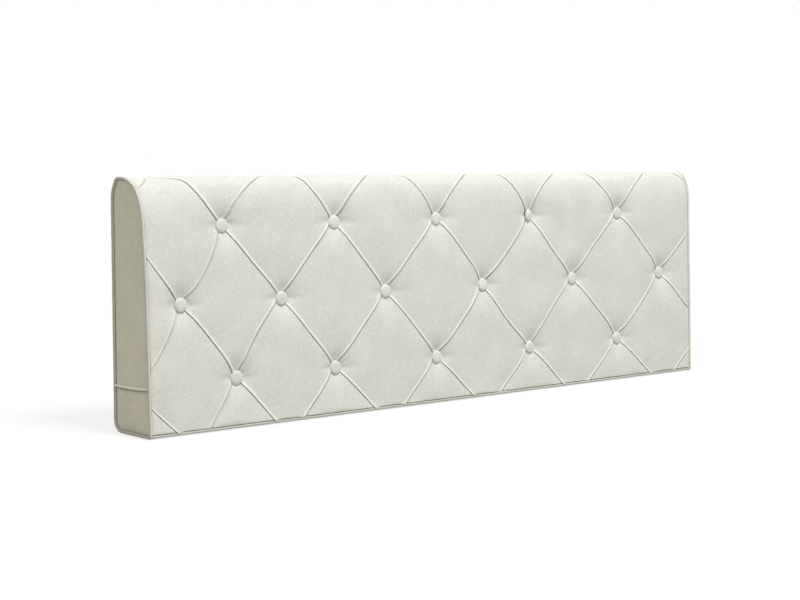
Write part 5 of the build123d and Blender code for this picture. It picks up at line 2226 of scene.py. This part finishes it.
@dataclass(frozen=True)
class Zipper:
    """Woven tapes and moulded teeth of the zipper low on the back.

    Args:
        rise: Height of the zipper.
        length: Length between the outer ends of its stops.
        tape_out: Distance of the tapes' outer face along Y.
        tape_thickness: Thickness of the tapes.
        tape_overrun: How far the tapes go on past the stops.
        tape_columns: Number of mesh lines across a tape.
        tape_rows: Distances of the mesh lines along it from its edge beside the teeth.
        cord: Height, distance from the edge and half width of its corded edge.
        wave_height: Height of its unevenness.
        wave_lengths: Shortest and longest wavelength of that.
        seed: Seed of it.
        tape_overlap: How far its edge reaches in under the teeth.
        chain_outer: Distance of the teeth's outer ends from the middle.
        pitch: Distance between the teeth of one row.
        tooth: Width, depth and height of a tooth.
        tooth_rise: Distance of its middle from the zipper's middle.
        tooth_tip: Scales of its tip, which is wider and thinner.
        tooth_bevel: Width of its rounded edges.
        row_start: Distance of the first tooth from its stop, as a share of the pitch.
        stop_length: Length of a stop.
    """

    rise: float = 75.0
    length: float = 1300.0
    tape_out: float = 66.0
    tape_thickness: float = 0.7
    tape_overrun: float = 20.0
    tape_columns: int = 161
    tape_rows: tuple[float, ...] = (0.0, 0.25, 0.7, 1.2, 1.7, 3.5, 6.0, 8.5, 10.5, 11.6, 12.0)
    cord: tuple[float, float, float] = (0.28, 0.7, 0.45)
    wave_height: float = 0.10
    wave_lengths: tuple[float, float] = (30.0, 90.0)
    seed: int = 91
    tape_overlap: float = 0.5
    chain_outer: float = 2.8
    pitch: float = 2.02
    tooth: tuple[float, float, float] = (1.15, 2.1, 2.4)
    tooth_rise: float = 1.9
    tooth_tip: tuple[float, float, float] = (1.25, 0.8, 1.0)
    tooth_bevel: float = 0.28
    row_start: float = 0.6
    stop_length: float = 3.0

    def make_tape(self, half: Half, materials: Materials) -> None:
        """Build one tape, with its corded edge beside the teeth.

        Args:
            half: Tape above or below the teeth.
            materials: Finishes by slot.
        """
        reach = self.length / 2 + self.tape_overrun
        bm = mapped_grid(np.linspace(-reach, reach, self.tape_columns), self.tape_rows)
        bmesh.ops.solidify(bm, geom=list(bm.faces), thickness=self.tape_thickness)
        x, off, middle = vertex_array(bm).T
        high, spot, width = self.cord
        cord = high * np.exp(-(((off - spot) / width) ** 2))
        wave = self.wave_height * soft_waves(x, off, self.wave_lengths, self.seed + half.value)
        middle = middle - middle.mean()
        y = self.tape_out - self.tape_thickness / 2 + middle + np.sign(middle) * cord + wave
        z = self.rise + half.value * (self.chain_outer - self.tape_overlap + off)
        place_vertices(bm, x, y, z)
        face_outwards(bm)
        finished_piece(
            f"zipper_band_{half.word}", bm, materials, "zipper_tape", f"zipper_tape_{half.word}")

    def make_teeth(self, half: Half, materials: Materials) -> None:
        """Build one row of teeth from a single shaped tooth.

        Args:
            half: Row above or below the middle.
            materials: Finishes by slot.
        """
        bm = bmesh.new()
        bmesh.ops.create_cube(bm, size=1.0)
        bmesh.ops.scale(bm, vec=self.tooth, verts=bm.verts)
        bmesh.ops.translate(bm, vec=(0.0, 0.0, self.tooth_rise), verts=bm.verts)
        tips = [vert for vert in bm.verts if vert.co.z < self.tooth_rise]
        bmesh.ops.scale(bm, vec=self.tooth_tip, verts=tips)
        bmesh.ops.bevel(
            bm, geom=list(bm.edges), offset=self.tooth_bevel, offset_type="OFFSET",
            affect="EDGES", segments=1, profile=0.5, material=-1)
        if half is Half.LOWER:
            half_turn = Matrix.Rotation(math.pi, 3, "Y")
            bmesh.ops.rotate(bm, cent=(0, 0, 0), matrix=half_turn, verts=bm.verts)
        room = self.length - 2.0 * self.stop_length
        count = int(room / self.pitch) - 1
        made = 1
        while made < count:
            extra = min(made, count - made)
            bm.faces.ensure_lookup_table()
            faces = bm.faces[: extra * (len(bm.faces) // made)]
            copy = bmesh.ops.duplicate(bm, geom=faces)["geom"]
            verts = [item for item in copy if isinstance(item, bmesh.types.BMVert)]
            bmesh.ops.translate(bm, vec=(made * self.pitch, 0.0, 0.0), verts=verts)
            made += extra
        offset = 0.0 if half is Half.UPPER else self.pitch / 2
        start = -room / 2 + self.pitch * self.row_start + offset
        depth = self.tape_out - self.tape_thickness / 2
        bmesh.ops.translate(bm, vec=(start, depth, self.rise), verts=bm.verts)
        face_outwards(bm)
        piece = finished_piece(
            f"zipper_teeth_{half.word}", bm, materials, "zipper_chain",
            f"zipper_chain_{half.word}")
        piece.data.polygons.foreach_set("use_smooth", [False] * len(piece.data.polygons))


# ---------------------------------------------------------------------------------------------
# Nodes that keep their own shape
# ---------------------------------------------------------------------------------------------

KEPT_NODES = {
    "foam_core": "core_foam", "core_liner": "liner_cloth", "pad_backing": "backing_cloth",
    "button_backs": "button_metal", "button_eyes": "button_wire", "tufting_twines": "twine",
    "anchor_washers": "button_plastic", "zipper_slider": "zipper_metal",
    "zipper_pull": "zipper_metal", "zipper_open_stop": "zipper_metal",
    "zipper_closed_stop": "zipper_metal",
}


def dress_kept_nodes(materials: Materials) -> None:
    """Give the nodes that keep their shape their finishes.

    Args:
        materials: Finishes by slot.
    """
    for name, slot in KEPT_NODES.items():
        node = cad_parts[name]
        if node.material_slots:
            for place in node.material_slots:
                place.material = materials[slot]
        else:
            node.data.materials.append(materials[slot])
        LOG.info("dressed %s", name)


# ---------------------------------------------------------------------------------------------
# Studio
# ---------------------------------------------------------------------------------------------


def hang(item: bpy.types.Object, spot: Sequence[float]) -> bpy.types.Object:
    """Put an object of the studio in its place in the scene.

    Args:
        item: The new object.
        spot: Its place, in metres.

    Returns:
        The same object.
    """
    item.location = spot
    bpy.context.scene.collection.objects.link(item)
    return item


@dataclass(frozen=True)
class SoftLamp:
    """One soft square lamp.

    Args:
        name: Name of the lamp.
        spot: Its place, in metres.
        aim: Point that it faces.
        size: Side of its square face.
        power: Power in watts.
        colour: Colour of its light.
    """

    name: str
    spot: tuple[float, float, float]
    aim: tuple[float, float, float]
    size: float
    power: float
    colour: Colour = (1.0, 1.0, 1.0)

    def make(self) -> None:
        """Hang the lamp and turn it to its aim."""
        data = bpy.data.lights.new(self.name, "AREA")
        data.shape = "SQUARE"
        data.size = self.size
        data.energy = self.power
        data.color = self.colour
        lamp = hang(bpy.data.objects.new(self.name, data), self.spot)
        way = Vector(self.aim) - Vector(self.spot)
        lamp.rotation_euler = way.to_track_quat("-Z", "Y").to_euler()


@dataclass(frozen=True)
class Studio:
    """Pale floor, soft lamps, white surroundings and the photograph's camera.

    Args:
        camera_spot: Place of the camera, in metres.
        camera_pitch: How far it looks down, in degrees.
        camera_turn: How far it is turned to the right, in degrees.
        lens: Focal length for the sensor's width.
        sensor: Width of the sensor.
        far: Distance beyond which the camera sees nothing.
        ambient: Strength of the light from all round.
        ambient_colour: Colour of that light.
        floor_size: Half the side of the floor.
        floor_drop: How far it lies below the cushion.
        floor_colour: Colour of the floor.
        floor_bounce: Colour with which the floor lights the object from below.
        clear_reach: Distances from the middle between which the floor turns white.
        clear_share: Share of white near the middle.
        lamps: Lamps round the object.
    """

    camera_spot: tuple[float, float, float] = (-2.4642, -2.7269, 0.5353)
    camera_pitch: float = 4.923
    camera_turn: float = 40.731
    lens: float = 74.25
    sensor: float = 36.0
    far: float = 100.0
    ambient: float = 0.55
    ambient_colour: Colour = (1.0, 0.965, 0.86)
    floor_size: float = 30.0
    floor_drop: float = 0.0004
    floor_colour: Colour = (0.93, 0.93, 0.93)
    floor_bounce: Colour = (0.40, 0.385, 0.34)
    clear_reach: tuple[float, float] = (1.1, 2.2)
    clear_share: float = 0.72
    lamps: tuple[SoftLamp, ...] = (
        SoftLamp("key_lamp", (-0.1, -3.2, 5.2), (0.0, 0.0, 0.25), 1.8, 279.0, (0.985, 0.99, 1.0)),
        SoftLamp("fill_lamp", (-4.0, 0.2, 1.4), (0.0, 0.0, 0.25), 2.4, 5.0, (1.0, 0.96, 0.84)),
        SoftLamp("back_lamp", (0.8, 3.4, 2.2), (0.0, 0.0, 0.3), 2.4, 30.0),
    )

    def make_camera(self) -> None:
        """Set up the photograph's camera."""
        data = bpy.data.cameras.new("photo_camera")
        data.sensor_fit = "HORIZONTAL"
        data.sensor_width = self.sensor
        data.lens = self.lens
        data.clip_end = self.far
        camera = hang(bpy.data.objects.new("photo_camera", data), self.camera_spot)
        camera.rotation_euler = (
            math.radians(90.0 - self.camera_pitch), 0.0, -math.radians(self.camera_turn))
        bpy.context.scene.camera = camera

    def make_floor(self) -> None:
        """Lay the pale floor, which shows white and keeps the object's shadow."""
        bm = bmesh.new()
        bmesh.ops.create_grid(bm, x_segments=8, y_segments=8, size=self.floor_size)
        mesh = bpy.data.meshes.new("studio_floor")
        bm.to_mesh(mesh)
        bm.free()
        material = bpy.data.materials.new("studio_floor")
        material.use_nodes = True
        nodes = material.node_tree.nodes
        desk = NodeDesk(material.node_tree)
        seen = desk.add("LightPath")["Is Camera Ray"]
        desk.feed(nodes["Principled BSDF"], {
            "Base Color": desk.blend(seen, self.floor_bounce, self.floor_colour),
            "Roughness": 0.9, "Specular IOR Level": 0.1})
        away = desk.add("VectorMath", {0: desk.add("TexCoord")["Object"]}, operation="LENGTH")
        clear = desk.spread(away["Value"], *self.clear_reach, self.clear_share, 1.0)
        mixed = desk.add("MixShader", {
            0: desk.maths("MULTIPLY", seen, clear), 1: nodes["Principled BSDF"].outputs["BSDF"],
            2: desk.add("Emission", {"Strength": 1.0})["Emission"]})
        desk.feed(nodes["Material Output"], {"Surface": mixed[0]})
        mesh.materials.append(material)
        floor = hang(bpy.data.objects.new("studio_floor", mesh), (0.0, 0.0, -self.floor_drop))
        floor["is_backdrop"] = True

    def make_surroundings(self) -> None:
        """Set white surroundings for the camera and a plain soft light for the object."""
        world = bpy.data.worlds.new("studio_white")
        world.use_nodes = True
        world.node_tree.nodes.clear()
        desk = NodeDesk(world.node_tree)
        rays = desk.add("LightPath")
        clear = desk.maths("MAXIMUM", rays["Is Glossy Ray"], rays["Is Transmission Ray"])
        plain, white = (
            desk.add("Background", {"Color": colour, "Strength": strength})[0]
            for colour, strength in (
                (self.ambient_colour, self.ambient), ((1.0, 1.0, 1.0), 1.0)))
        seen = desk.maths("MAXIMUM", rays["Is Camera Ray"], clear)
        mixed = desk.add("MixShader", {0: seen, 1: plain, 2: white})
        desk.add("OutputWorld", {"Surface": mixed[0]})
        bpy.context.scene.world = world

    def make(self) -> None:
        """Set up the whole studio."""
        self.make_camera()
        self.make_floor()
        self.make_surroundings()
        for lamp in self.lamps:
            lamp.make()
        bpy.context.scene.view_settings.view_transform = "Standard"


# ---------------------------------------------------------------------------------------------
# Assembly
# ---------------------------------------------------------------------------------------------


def main() -> None:
    """Dress the cushion piece by piece and set up the studio."""
    logging.basicConfig(level=logging.INFO, format="%(name)s: %(message)s")
    cad_box = [corner.copy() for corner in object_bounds()]
    outline = SideOutline()
    lattice = TuftLattice()
    panel_half = outline.length / 2 - PIPING_ROOM
    back_seam = outline.run_to(Stretch.TO_BACK_SEAM)
    materials = build_finishes()
    Studio().make()
    front = TuftedFront(outline, TuftRelief(lattice, panel_half, back_seam))
    front.make_front(materials)
    front.make_pad(materials)
    CoveredButtons(outline, lattice).make(materials)
    piping = Piping(outline)
    piping.make_front(materials)
    covers = EndCovers(outline)
    for side in Side:
        piping.make_end(side, materials)
        covers.make_welt(side, materials)
        for half in Half:
            covers.make_panel(side, half, materials)
    PlainCovers(outline, panel_half, back_seam).make(materials)
    zipper = Zipper()
    for half in Half:
        zipper.make_tape(half, materials)
        zipper.make_teeth(half, materials)
    dress_kept_nodes(materials)


if __name__ == "__main__":
    main()
